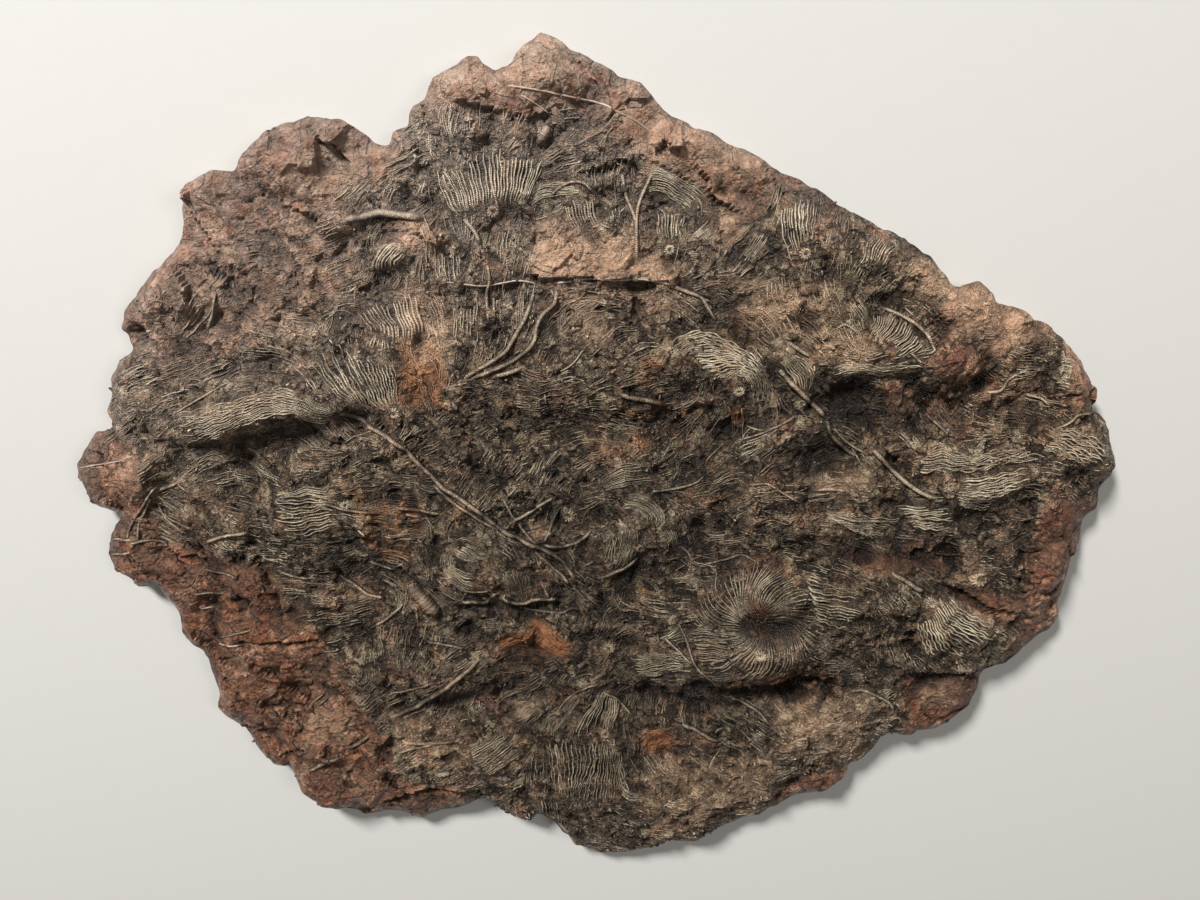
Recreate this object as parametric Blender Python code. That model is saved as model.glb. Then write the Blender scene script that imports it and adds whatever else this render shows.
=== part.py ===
"""A slab of sea-lily fossils lying on its flat back, fossil face up: one solid stone.

Metres, +Z up, origin under the middle of the slab on the surface that it lies on.
The stone is a trimmed grid with thickness. Its face is shaped by hills, ledges, stems and
crowns, which are lists below, and then brought down to a light triangle mesh.
"""
import bmesh
import bpy
import numpy as np
from mathutils import Matrix, Vector, noise

# Driving dimensions
SLAB_WIDTH = 1.530
SLAB_HEIGHT = 1.294
EDGE_THICKNESS = 0.026  # the broken edge, before the face rounds up from it
FACE_THICKNESS = 0.052  # the face away from the edge, between its hills
EDGE_ROUNDING = 0.030  # distance over which the face comes up from the edge
BACK_INSET = 0.007  # the broken edge leans in towards the back
GRID_STEP = 0.005
WALL_ROWS = 2  # rows of points between the back and the face along the broken edge
TRIANGLES = 9600
ROUGHNESS = ((0.110, 0.0045), (0.040, 0.0026), (0.017, 0.0010))  # (size, height) of natural lumps
EDGE_CHIPS = (0.030, 0.0025)  # (size, depth) of the chips along the broken edge
STONE_COLOUR = (0.165, 0.125, 0.098, 1.0)

# The lists of relief below are drawn a little too wide, so they are brought in about a point
RELIEF_MIDDLE = (0.005, 0.468)
RELIEF_SCALE = 0.980

# The outline as it lies, clockwise from the top peak
OUTLINE = [
    (-0.055, 0.647), (-0.026, 0.636), (-0.014, 0.625), (0.018, 0.610), (0.036, 0.601), (0.041, 0.593),
    (0.070, 0.585), (0.090, 0.564), (0.108, 0.545), (0.134, 0.534), (0.160, 0.525), (0.178, 0.513),
    (0.204, 0.502), (0.238, 0.484), (0.254, 0.471), (0.284, 0.461), (0.304, 0.450), (0.354, 0.418),
    (0.392, 0.398), (0.426, 0.383), (0.464, 0.357), (0.498, 0.318), (0.534, 0.323), (0.556, 0.305),
    (0.562, 0.294), (0.604, 0.279), (0.613, 0.270), (0.646, 0.256), (0.680, 0.220), (0.692, 0.207),
    (0.700, 0.190), (0.711, 0.173), (0.724, 0.161), (0.720, 0.133), (0.732, 0.128), (0.744, 0.116),
    (0.754, 0.082), (0.765, 0.046), (0.761, 0.025), (0.752, 0.008), (0.754, -0.010), (0.751, -0.026),
    (0.735, -0.039), (0.734, -0.076), (0.721, -0.100), (0.722, -0.139), (0.719, -0.166), (0.714, -0.177),
    (0.722, -0.205), (0.717, -0.221), (0.706, -0.232), (0.693, -0.237), (0.667, -0.263), (0.644, -0.284),
    (0.612, -0.295), (0.607, -0.324), (0.592, -0.361), (0.557, -0.397), (0.537, -0.405), (0.512, -0.403),
    (0.506, -0.414), (0.486, -0.416), (0.471, -0.410), (0.455, -0.425), (0.427, -0.463), (0.407, -0.470),
    (0.398, -0.499), (0.381, -0.515), (0.366, -0.525), (0.340, -0.530), (0.316, -0.538), (0.294, -0.553),
    (0.274, -0.557), (0.261, -0.573), (0.238, -0.575), (0.194, -0.595), (0.151, -0.623), (0.101, -0.624),
    (0.075, -0.636), (0.047, -0.640), (-0.003, -0.647), (-0.020, -0.645), (-0.059, -0.622),
    (-0.098, -0.569), (-0.117, -0.552), (-0.127, -0.567), (-0.137, -0.571), (-0.161, -0.556),
    (-0.208, -0.517), (-0.256, -0.542), (-0.302, -0.555), (-0.311, -0.564), (-0.322, -0.563),
    (-0.348, -0.545), (-0.373, -0.541), (-0.390, -0.551), (-0.412, -0.553), (-0.425, -0.546),
    (-0.452, -0.539), (-0.483, -0.517), (-0.513, -0.486), (-0.520, -0.454), (-0.527, -0.443),
    (-0.549, -0.438), (-0.568, -0.416), (-0.604, -0.366), (-0.626, -0.326), (-0.619, -0.308),
    (-0.618, -0.278), (-0.624, -0.236), (-0.646, -0.214), (-0.657, -0.185), (-0.656, -0.157),
    (-0.681, -0.107), (-0.708, -0.109), (-0.741, -0.083), (-0.750, -0.058), (-0.744, -0.035),
    (-0.729, -0.007), (-0.717, 0.003), (-0.717, 0.015), (-0.741, 0.023), (-0.753, 0.033), (-0.765, 0.072),
    (-0.761, 0.095), (-0.744, 0.115), (-0.723, 0.142), (-0.701, 0.149), (-0.696, 0.158), (-0.702, 0.170),
    (-0.690, 0.193), (-0.686, 0.217), (-0.668, 0.248), (-0.648, 0.256), (-0.651, 0.280), (-0.659, 0.288),
    (-0.649, 0.313), (-0.596, 0.365), (-0.569, 0.387), (-0.551, 0.413), (-0.545, 0.443), (-0.537, 0.470),
    (-0.529, 0.479), (-0.494, 0.495), (-0.469, 0.492), (-0.453, 0.510), (-0.413, 0.545), (-0.378, 0.552),
    (-0.359, 0.566), (-0.343, 0.557), (-0.316, 0.552), (-0.296, 0.538), (-0.278, 0.524), (-0.260, 0.518),
    (-0.256, 0.536), (-0.234, 0.541), (-0.230, 0.560), (-0.206, 0.578), (-0.196, 0.600), (-0.170, 0.610),
    (-0.150, 0.622), (-0.134, 0.622), (-0.116, 0.606), (-0.100, 0.612), (-0.076, 0.634),
]

# Hills and hollows of the face: middle x, y, half length, half width, turn in degrees, height
HILLS = [
    (-0.500, 0.170, 0.150, 0.050, 14, 0.024),  # long bundle of arms, left
    (-0.450, 0.118, 0.130, 0.030, 12, -0.014),  # hollow under the bundle
    (-0.330, 0.240, 0.150, 0.140, 0, 0.012),  # large fan
    (-0.370, 0.480, 0.120, 0.080, 0, 0.010),  # upper left block
    (-0.300, 0.492, 0.060, 0.016, 0, -0.014),  # dark gap under that block
    (-0.600, 0.325, 0.080, 0.055, 40, 0.016),  # left shoulder
    (-0.640, 0.200, 0.070, 0.060, 0, 0.014),
    (-0.640, 0.277, 0.022, 0.018, 0, -0.024),  # hollow in the left edge
    (-0.700, 0.085, 0.075, 0.070, 0, 0.016),  # round lobe, far left
    (-0.712, -0.055, 0.050, 0.050, 0, 0.010),
    (-0.640, 0.040, 0.030, 0.110, -25, -0.010),
    (-0.565, -0.142, 0.022, 0.010, 0, -0.014),  # pit
    (-0.470, -0.360, 0.170, 0.140, 0, 0.006),
    (-0.430, 0.015, 0.140, 0.070, -4, 0.014),  # wavy arms, left
    (-0.360, -0.095, 0.080, 0.035, -10, -0.012),
    (-0.460, -0.070, 0.070, 0.040, 0, 0.010),
    (-0.190, -0.085, 0.075, 0.065, 0, 0.014),
    (-0.270, -0.260, 0.110, 0.060, 0, 0.018),
    (-0.290, -0.340, 0.100, 0.022, 12, -0.008),
    (-0.178, -0.435, 0.075, 0.065, 0, 0.024),  # ball of arms
    (-0.040, -0.470, 0.085, 0.100, 0, 0.012),  # brush of arms at the bottom
    (-0.105, -0.170, 0.120, 0.022, 0, -0.012),
    (0.030, 0.065, 0.080, 0.075, 0, 0.020),  # smooth dome in the middle
    (0.035, -0.030, 0.075, 0.055, 0, 0.010),
    (-0.060, 0.130, 0.090, 0.030, 0, -0.010),
    (0.060, -0.115, 0.045, 0.032, 0, -0.018),  # hole in the middle
    (0.120, 0.215, 0.160, 0.060, 0, 0.018),  # swirl of arms
    (0.225, 0.180, 0.060, 0.080, -35, 0.012),
    (0.130, 0.120, 0.120, 0.035, 0, -0.012),
    (0.385, 0.230, 0.140, 0.050, 0, 0.018),
    (0.400, 0.135, 0.130, 0.045, -8, -0.020),  # deep valley, right
    (0.325, 0.080, 0.050, 0.040, 0, -0.020),
    (0.560, 0.045, 0.140, 0.065, 0, 0.018),  # strong ribs, right
    (0.715, 0.060, 0.060, 0.070, 0, 0.010),
    (0.705, 0.030, 0.036, 0.024, -30, -0.014),
    (0.600, 0.250, 0.060, 0.045, -20, 0.018),  # smooth block, upper right
    (0.525, 0.290, 0.050, 0.035, 0, 0.010),
    (0.505, 0.210, 0.045, 0.040, 0, 0.016),
    (0.556, 0.178, 0.020, 0.016, 0, -0.018),
    (0.610, 0.130, 0.070, 0.022, 0, -0.012),
    (0.688, 0.180, 0.028, 0.075, 18, 0.010),
    (0.690, -0.090, 0.045, 0.120, 0, 0.010),  # brown band, right edge
    (0.430, -0.075, 0.110, 0.040, 0, -0.012),
    (0.300, 0.000, 0.160, 0.060, 0, 0.008),
    (0.245, -0.205, 0.165, 0.130, 0, 0.030),  # great ring of arms
    (0.250, -0.200, 0.050, 0.042, 0, -0.034),  # its hollow middle
    (0.095, -0.245, 0.090, 0.060, 0, 0.022),
    (0.170, -0.335, 0.190, 0.032, 0, -0.018),  # undercut below the ring
    (0.440, -0.160, 0.070, 0.065, -20, 0.020),
    (0.550, -0.205, 0.110, 0.060, -35, 0.020),
    (0.350, -0.395, 0.120, 0.075, 20, 0.018),
    (0.540, -0.345, 0.080, 0.050, 0, -0.012),  # low smooth corner
    (0.200, -0.500, 0.150, 0.075, 15, 0.008),
    (0.100, -0.400, 0.070, 0.030, 0, -0.008),
    (0.172, -0.490, 0.025, 0.018, 0, -0.014),
    (-0.050, 0.605, 0.080, 0.050, 0, 0.014),  # smooth blocks at the top
    (-0.150, 0.600, 0.045, 0.032, 0, 0.010),
    (0.060, 0.570, 0.050, 0.045, 0, 0.012),
    (0.200, 0.475, 0.130, 0.045, -30, 0.012),
    (0.010, 0.385, 0.100, 0.040, -12, 0.012),
    (-0.055, 0.527, 0.026, 0.020, 0, -0.014),  # pit with a small cup
    (-0.115, 0.420, 0.055, 0.032, 0, -0.014),
    (-0.230, 0.410, 0.045, 0.032, 0, 0.010),
    (-0.270, 0.378, 0.040, 0.030, 0, 0.012),
    (0.270, 0.390, 0.050, 0.060, 0, 0.008),
    (0.400, 0.365, 0.070, 0.045, -30, 0.010),
]

# Ledges: drop, reach, and the line of the break. The high side is on the left along the line.
LEDGES = [
    (0.010, 0.030, [(-0.020, 0.475), (0.065, 0.497), (0.110, 0.478), (0.155, 0.450), (0.215, 0.412)]),
    (0.011, 0.030, [(-0.064, 0.415), (-0.090, 0.345), (0.000, 0.340), (0.120, 0.330)]),
    (0.008, 0.035, [(-0.600, -0.208), (-0.430, -0.205)]),
    (0.014, 0.030, [(0.470, -0.292), (0.520, -0.300), (0.605, -0.300)]),
    (0.016, 0.030, [(-0.385, -0.532), (-0.350, -0.510), (-0.290, -0.498), (-0.205, -0.500)]),
    (0.012, 0.030, [(0.500, -0.130), (0.555, -0.150), (0.600, -0.177), (0.650, -0.190)]),
    (0.012, 0.025, [(-0.556, 0.300), (-0.550, 0.345), (-0.570, 0.372)]),
    (0.013, 0.030, [(0.200, -0.300), (0.280, -0.306), (0.360, -0.300)]),
    (0.010, 0.025, [(-0.590, 0.125), (-0.510, 0.135), (-0.460, 0.160), (-0.395, 0.152)]),
    (0.010, 0.030, [(0.320, 0.196), (0.400, 0.198), (0.480, 0.205)]),
    (0.008, 0.020, [(-0.190, 0.575), (-0.135, 0.562), (-0.080, 0.548), (-0.036, 0.560)]),
    (0.008, 0.020, [(0.660, -0.010), (0.655, -0.060), (0.650, -0.110), (0.655, -0.160)]),
]

# Long stems: radius, and the line each lies along
STEM_RISE = 0.7  # share of a stem's radius that stands above the stone
STEMS = [
    (0.0060, [(-0.379, 0.167), (-0.341, 0.145), (-0.304, 0.119), (-0.267, 0.100), (-0.245, 0.065),
              (-0.192, 0.012), (-0.149, -0.021), (-0.101, -0.053), (-0.061, -0.085), (-0.043, -0.109),
              (-0.027, -0.139)]),
    (0.0065, [(-0.320, -0.341), (-0.277, -0.315), (-0.235, -0.277), (-0.187, -0.229), (-0.171, -0.197)]),
    (0.0055, [(-0.192, 0.201), (-0.139, 0.236), (-0.101, 0.273), (-0.083, 0.321)]),
    (0.0055, [(-0.133, 0.223), (-0.096, 0.247), (-0.080, 0.279), (-0.053, 0.305)]),
    (0.0070, [(0.267, 0.204), (0.299, 0.167), (0.325, 0.135), (0.338, 0.110)]),
    (0.0065, [(0.032, 0.175), (0.064, 0.164), (0.101, 0.153)]),
    (0.0050, [(-0.213, -0.144), (-0.171, -0.145), (-0.128, -0.147), (-0.091, -0.140), (-0.043, -0.144),
              (-0.011, -0.160)]),
    (0.0060, [(-0.325, 0.427), (-0.256, 0.428), (-0.221, 0.424)]),
    (0.0055, [(-0.139, -0.032), (-0.107, -0.008), (-0.085, 0.008)]),
    (0.0050, [(-0.080, -0.053), (-0.043, -0.053), (-0.021, -0.043), (-0.005, -0.027)]),
    (0.0050, [(0.105, -0.220), (0.140, -0.265), (0.185, -0.315)]),
    (0.0050, [(0.210, -0.335), (0.240, -0.355), (0.270, -0.388)]),
    (0.0060, [(-0.147, 0.273), (-0.140, 0.310), (-0.144, 0.353)]),
    (0.0050, [(-0.152, 0.385), (-0.152, 0.401), (-0.165, 0.430)]),
    (0.0050, [(-0.341, -0.416), (-0.299, -0.408), (-0.229, -0.403)]),
]

# Crowns and bundles of arms: rise, ridges across, half width at the start and end, middle line
CROWNS = [
    (0.009, 8, 0.050, 0.072, [(-0.140, 0.432), (-0.135, 0.468), (-0.128, 0.505)]),  # comb at the top
    (0.010, 9, 0.028, 0.098, [(-0.325, 0.150), (-0.335, 0.220), (-0.335, 0.310)]),  # large fan
    (0.007, 4, 0.032, 0.032, [(-0.605, 0.138), (-0.510, 0.168), (-0.420, 0.190), (-0.345, 0.150)]),
    (0.007, 5, 0.045, 0.055, [(-0.520, 0.000), (-0.420, 0.015), (-0.330, 0.000)]),
    (0.006, 5, 0.040, 0.040, [(-0.030, 0.440), (-0.010, 0.410), (-0.020, 0.385)]),
    (0.007, 5, 0.045, 0.055, [(0.110, 0.400), (0.105, 0.440), (0.110, 0.470)]),
    (0.007, 4, 0.034, 0.030, [(0.262, 0.445), (0.270, 0.400), (0.288, 0.345)]),
    (0.008, 5, 0.040, 0.050, [(0.360, 0.335), (0.392, 0.362), (0.435, 0.380)]),
    (0.008, 5, 0.045, 0.030, [(0.395, 0.295), (0.420, 0.255), (0.455, 0.215)]),
    (0.010, 5, 0.038, 0.046, [(0.000, 0.238), (0.080, 0.232), (0.160, 0.222), (0.220, 0.190),
                              (0.245, 0.135)]),
    (0.010, 6, 0.040, 0.062, [(0.470, 0.045), (0.560, 0.055), (0.660, 0.045)]),
    (0.011, 6, 0.030, 0.048, [(0.470, -0.135), (0.530, -0.180), (0.605, -0.250)]),
    (0.009, 7, 0.062, 0.052, [(-0.040, -0.400), (-0.035, -0.470), (-0.030, -0.545)]),
    (0.007, 4, 0.040, 0.034, [(-0.340, -0.255), (-0.270, -0.248), (-0.195, -0.262)]),
    (0.007, 5, 0.050, 0.040, [(0.040, -0.225), (0.100, -0.240), (0.165, -0.245)]),
    (0.006, 4, 0.030, 0.050, [(0.300, 0.000), (0.380, -0.015), (0.470, -0.010)]),
    (0.006, 4, 0.026, 0.030, [(-0.300, 0.370), (-0.270, 0.385), (-0.240, 0.385)]),
    (0.006, 5, 0.040, 0.060, [(0.020, 0.035), (0.055, -0.005), (0.075, -0.050)]),
]

# The great ring: middle, radius of its crest, half width, rise, and ridges round it
RING_MIDDLE = (0.245, -0.205)
RING_RADIUS = 0.082
RING_HALF_WIDTH = 0.050
RING_RISE = 0.010
RING_RIDGES = 22
RIDGE_DEPTH = 0.42  # share of a crown's rise that is cut between its ridges
ARM_TIPS = 0.22  # share of a crown's length over which each end sinks into the stone


def distance_along(points, path):
    """For each point: its distance to the path, its side (left is positive), and how far along it is."""
    path = np.asarray(path, float)
    lengths = np.linalg.norm(np.diff(path, axis=0), axis=1)
    starts = np.concatenate([[0.0], np.cumsum(lengths)])
    nearest = np.full(len(points), np.inf)
    side = np.zeros(len(points))
    along = np.zeros(len(points))
    for start, first, last, length in zip(starts, path[:-1], path[1:], lengths):
        direction = (last - first) / length
        offset = points - first
        run = np.clip(offset @ direction, 0.0, length)
        gap = offset - run[:, None] * direction
        distance = np.hypot(gap[:, 0], gap[:, 1])
        closer = distance < nearest
        nearest[closer] = distance[closer]
        side[closer] = np.sign(direction[0] * offset[closer, 1] - direction[1] * offset[closer, 0])
        along[closer] = (start + run[closer]) / starts[-1]
    return nearest, side, along


def inside_outline(points):
    """True where a point lies inside the slab's outline, by counting crossings to its right."""
    inside = np.zeros(len(points), bool)
    x, y = points[:, 0], points[:, 1]
    for (x1, y1), (x2, y2) in zip(OUTLINE, OUTLINE[1:] + OUTLINE[:1]):
        spans = (y1 > y) != (y2 > y)
        crossing = x1 + (y - y1) * (x2 - x1) / (y2 - y1 if y2 != y1 else 1.0)
        inside ^= spans & (x < crossing)
    return inside


def to_outline(points):
    """Distance from each point to the outline."""
    return distance_along(points, OUTLINE + OUTLINE[:1])[0]


def natural_lumps(points, size, seed):
    """Smooth noise between about -1 and 1, with lumps of the given size."""
    return np.array([noise.noise(Vector((x / size, y / size, seed))) for x, y in points]) * 2.0


def hill(points, x, y, half_length, half_width, turn, height):
    """A rounded hill, or a hollow where the height is negative."""
    angle = np.radians(turn)
    dx, dy = points[:, 0] - x, points[:, 1] - y
    u = (dx * np.cos(angle) + dy * np.sin(angle)) / half_length
    v = (dy * np.cos(angle) - dx * np.sin(angle)) / half_width
    return height * np.clip(1.0 - (u * u + v * v) / 1.6, 0.0, None) ** 2


def ledge(points, drop, reach, path):
    """A sharp break whose two sides fade back to the face."""
    distance, side, along = distance_along(points, path)
    ends = np.clip(np.minimum(along, 1.0 - along) / 0.15, 0.0, 1.0)
    high = np.where(side > 0, 0.6, -0.4)
    return drop * high * np.exp(-distance / reach) * ends


def stem(points, radius, path):
    """A round stem half sunk in the stone."""
    distance = distance_along(points, path)[0]
    return STEM_RISE * np.sqrt(np.clip(radius * radius - (distance * 0.8) ** 2, 0.0, None)) * 1.4


def ridged(across, ridges):
    """1 on the crest of each ridge and lower between them, for positions from -1 to 1."""
    return 1.0 - RIDGE_DEPTH * (0.5 + 0.5 * np.cos(np.pi * across * ridges))


def crown(points, rise, ridges, half_start, half_end, path):
    """A bundle of arms along a path, domed across and ridged lengthwise."""
    distance, side, along = distance_along(points, path)
    half = half_start + (half_end - half_start) * along
    across = distance * side / half
    dome = np.clip(1.0 - across * across, 0.0, None) ** 0.5
    ends = np.sin(np.pi / 2.0 * np.clip(np.minimum(along, 1.0 - along) / ARM_TIPS, 0.0, 1.0))
    return rise * dome * ends * ridged(across, ridges)


def ring(points):
    """The great ring: arms in a circle over a raised crest."""
    dx, dy = points[:, 0] - RING_MIDDLE[0], points[:, 1] - RING_MIDDLE[1]
    across = (np.hypot(dx, dy) - RING_RADIUS) / RING_HALF_WIDTH
    dome = np.clip(1.0 - across * across, 0.0, None) ** 0.5
    turn = np.arctan2(dy, dx) / np.pi + across * 0.06
    return RING_RISE * dome * ridged(turn, RING_RIDGES)


def face_height(points):
    """Height of the fossil face above the back, at each point."""
    inward = to_outline(points)
    height = EDGE_THICKNESS + (FACE_THICKNESS - EDGE_THICKNESS) * (1.0 - np.exp(-inward / EDGE_ROUNDING))
    drawn = np.array(RELIEF_MIDDLE) + (points - RELIEF_MIDDLE) / RELIEF_SCALE
    relief = np.zeros(len(points))
    for row in HILLS:
        relief += hill(drawn, *row)
    for row in LEDGES:
        relief += ledge(drawn, *row)
    for row in CROWNS:
        relief += crown(drawn, *row)
    relief += ring(drawn)
    for number, (size, rise) in enumerate(ROUGHNESS):
        relief += rise * natural_lumps(points, size, number * 7.3)
    stems = np.zeros(len(points))
    for row in STEMS:
        stems = np.maximum(stems, stem(drawn, *row))
    fade = 0.35 + 0.65 * (1.0 - np.exp(-inward / EDGE_ROUNDING))
    return height + (relief + stems) * fade


def trimmed_grid():
    """A flat grid cut to the outline, its border points set on the outline."""
    bm = bmesh.new()
    columns, rows = round(SLAB_WIDTH / GRID_STEP), round(SLAB_HEIGHT / GRID_STEP)
    scale = Matrix.Diagonal((SLAB_WIDTH, SLAB_HEIGHT, 1.0, 1.0))
    bmesh.ops.create_grid(bm, x_segments=columns, y_segments=rows, size=0.5, matrix=scale)
    faces = bm.faces[:]
    middles = np.array([face.calc_center_median()[:2] for face in faces])
    outside = [face for face, kept in zip(faces, inside_outline(middles)) if not kept]
    bmesh.ops.delete(bm, geom=outside, context="FACES")
    set_on_outline([vert for vert in bm.verts if vert.is_boundary])
    bmesh.ops.triangulate(bm, faces=bm.faces[:])
    return bm


def set_on_outline(verts):
    """Move each vertex to the nearest point of the outline."""
    ends = [Vector((x, y, 0.0)) for x, y in OUTLINE]
    for vert in verts:
        best = None
        for first, last in zip(ends, ends[1:] + ends[:1]):
            run = last - first
            share = min(max((vert.co - first).dot(run) / run.length_squared, 0.0), 1.0)
            point = first + share * run
            if best is None or (point - vert.co).length < (best - vert.co).length:
                best = point
        vert.co = best


def slab_blank():
    """The trimmed grid with thickness: back at z 0, face at z 1, and rows of points round the edge."""
    bm = trimmed_grid()
    bmesh.ops.solidify(bm, geom=bm.faces[:], thickness=-1.0)
    heights = [vert.co.z for vert in bm.verts]
    middle = (min(heights) + max(heights)) / 2.0
    for vert in bm.verts:
        vert.co.z = 1.0 if vert.co.z > middle else 0.0
    uprights = [edge for edge in bm.edges if edge.verts[0].co.z != edge.verts[1].co.z]
    bmesh.ops.subdivide_edges(bm, edges=uprights, cuts=WALL_ROWS, use_grid_fill=True)
    bmesh.ops.triangulate(bm, faces=[face for face in bm.faces if len(face.verts) > 3])
    bmesh.ops.recalc_face_normals(bm, faces=bm.faces[:])
    mesh = bpy.data.meshes.new("crinoid_slab")
    bm.to_mesh(mesh)
    bm.free()
    return mesh


def shape_face(mesh):
    """Raise the face to its height, and lean and chip the broken edge."""
    places = np.empty(len(mesh.vertices) * 3)
    mesh.vertices.foreach_get("co", places)
    places = places.reshape(-1, 3)
    share = places[:, 2].copy()
    flat = places[:, :2].copy()
    places[:, 2] = share * face_height(flat)
    near_edge = to_outline(flat) < GRID_STEP * 0.2
    size, depth = EDGE_CHIPS
    chips = depth * natural_lumps(flat, size, 31.7)
    lean = (BACK_INSET + chips) * (1.0 - share) + np.abs(chips) * share * (1.0 - share) * 4.0
    towards_middle = -flat / np.linalg.norm(flat, axis=1)[:, None]
    places[near_edge, :2] += (lean[:, None] * towards_middle)[near_edge]
    mesh.vertices.foreach_set("co", places.ravel())
    mesh.update()


def stone_material():
    material = bpy.data.materials.new("fossil_stone")
    material.use_nodes = True
    shader = material.node_tree.nodes["Principled BSDF"]
    shader.inputs["Base Color"].default_value = STONE_COLOUR
    shader.inputs["Roughness"].default_value = 0.55
    shader.inputs["Metallic"].default_value = 0.0
    return material


def crinoid_slab(collection):
    mesh = slab_blank()
    shape_face(mesh)
    faces = len(mesh.polygons)
    mesh.materials.append(stone_material())
    mesh.shade_smooth()
    slab = bpy.data.objects.new("crinoid_slab", mesh)
    collection.objects.link(slab)
    light = slab.modifiers.new("Fewer triangles", "DECIMATE")
    light.decimate_type = "COLLAPSE"
    light.ratio = TRIANGLES / faces
    return slab


def main():
    for old in list(bpy.data.objects):
        bpy.data.objects.remove(old)
    collection = bpy.data.collections.new("crinoid_fossil")
    bpy.context.scene.collection.children.link(collection)
    crinoid_slab(collection)


main()
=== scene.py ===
"""A slab of sea lilies, fossil face up: the stone, its crowns of arms, stems and loose scraps.

Metres, +Z up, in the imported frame. Lists of places are in millimetres and were laid out on a
level sheet 35 mm above the back, so settle() draws each one in as the stone rises. A line or an
outline in them is written flat: x, y, x, y and so on.
"""
import math

import bmesh
import bpy
import numpy as np
from mathutils import Matrix, Vector, noise


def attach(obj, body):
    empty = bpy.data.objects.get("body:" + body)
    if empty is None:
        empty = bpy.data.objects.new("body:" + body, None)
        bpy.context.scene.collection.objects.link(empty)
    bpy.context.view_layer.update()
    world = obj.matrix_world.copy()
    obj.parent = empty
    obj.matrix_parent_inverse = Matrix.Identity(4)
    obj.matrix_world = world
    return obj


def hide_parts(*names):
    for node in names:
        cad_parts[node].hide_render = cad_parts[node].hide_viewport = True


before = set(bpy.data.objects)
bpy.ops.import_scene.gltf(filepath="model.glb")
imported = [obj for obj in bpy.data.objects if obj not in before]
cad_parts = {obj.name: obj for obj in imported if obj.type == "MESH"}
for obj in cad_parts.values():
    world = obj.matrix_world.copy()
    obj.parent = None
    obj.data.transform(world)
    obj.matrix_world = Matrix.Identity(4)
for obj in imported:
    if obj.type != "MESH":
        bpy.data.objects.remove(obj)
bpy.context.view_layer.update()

MM = 0.001

# The stone's own sizes, as its solid has them
SLAB_WIDTH = 1.530
SLAB_HEIGHT = 1.294
EDGE_THICKNESS = 0.026
FACE_THICKNESS = 0.052
EDGE_ROUNDING = 0.030
BACK_INSET = 0.007
ROUGHNESS = ((0.110, 0.0045), (0.040, 0.0026), (0.017, 0.0010))
RELIEF_SCALE = 0.980
CEILING = 0.0962  # nothing stands higher than this above the back

# Where the guide lines were laid out from
SHEET_LEVEL = 0.035
SHEET_REACH = 1.150
SHEET_MIDDLE = np.array((0.005, 0.468))

# Domes and swells of the face besides the solid's own: x, y, reach and rise
SWELLS = ((0.247, -0.196, 0.042, 0.021), (0.165, -0.325, 0.070, 0.010), (0.270, -0.330, 0.050, 0.007),
          (0.385, 0.138, 0.060, 0.008), (-0.480, 0.112, 0.055, 0.006))

GRID_STEP = 0.0042  # between the stone's own points
FINE_STEP = 0.0021  # between the points of the height map that arms lie on
WALL_ROWS = 7
ROW_STEP = 0.006  # between the rows down the broken edge, as their facets see it
LATTICE = 256  # random numbers along each side of a noise lattice
CELLS = 128  # random middles along each side of a field of facets
BUNDLE_SPACING = 0.031  # between bundles of loose arms
DRIFT_STEP = 0.0055  # between the points of a loose arm
ARM_STEP = 0.0052  # between the points of a crown's arm
STEM_STEP = 0.004  # between the points of a stem
FLOW_SPREAD = 0.0011  # square metres within which a guide turns the fossils round it
WALL_TOP = 0.02  # only the broken edge lies lower than this
SCRAP_MARGIN = 0.009  # scraps and small chips keep this far in from the rim
BLOCK_MARGIN = 0.022  # and large chips this far
TURN = 6.2832  # all the way round, in radians
WAVE_TURN = 6.28  # the same for waves and chance angles
SEED = 411

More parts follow.
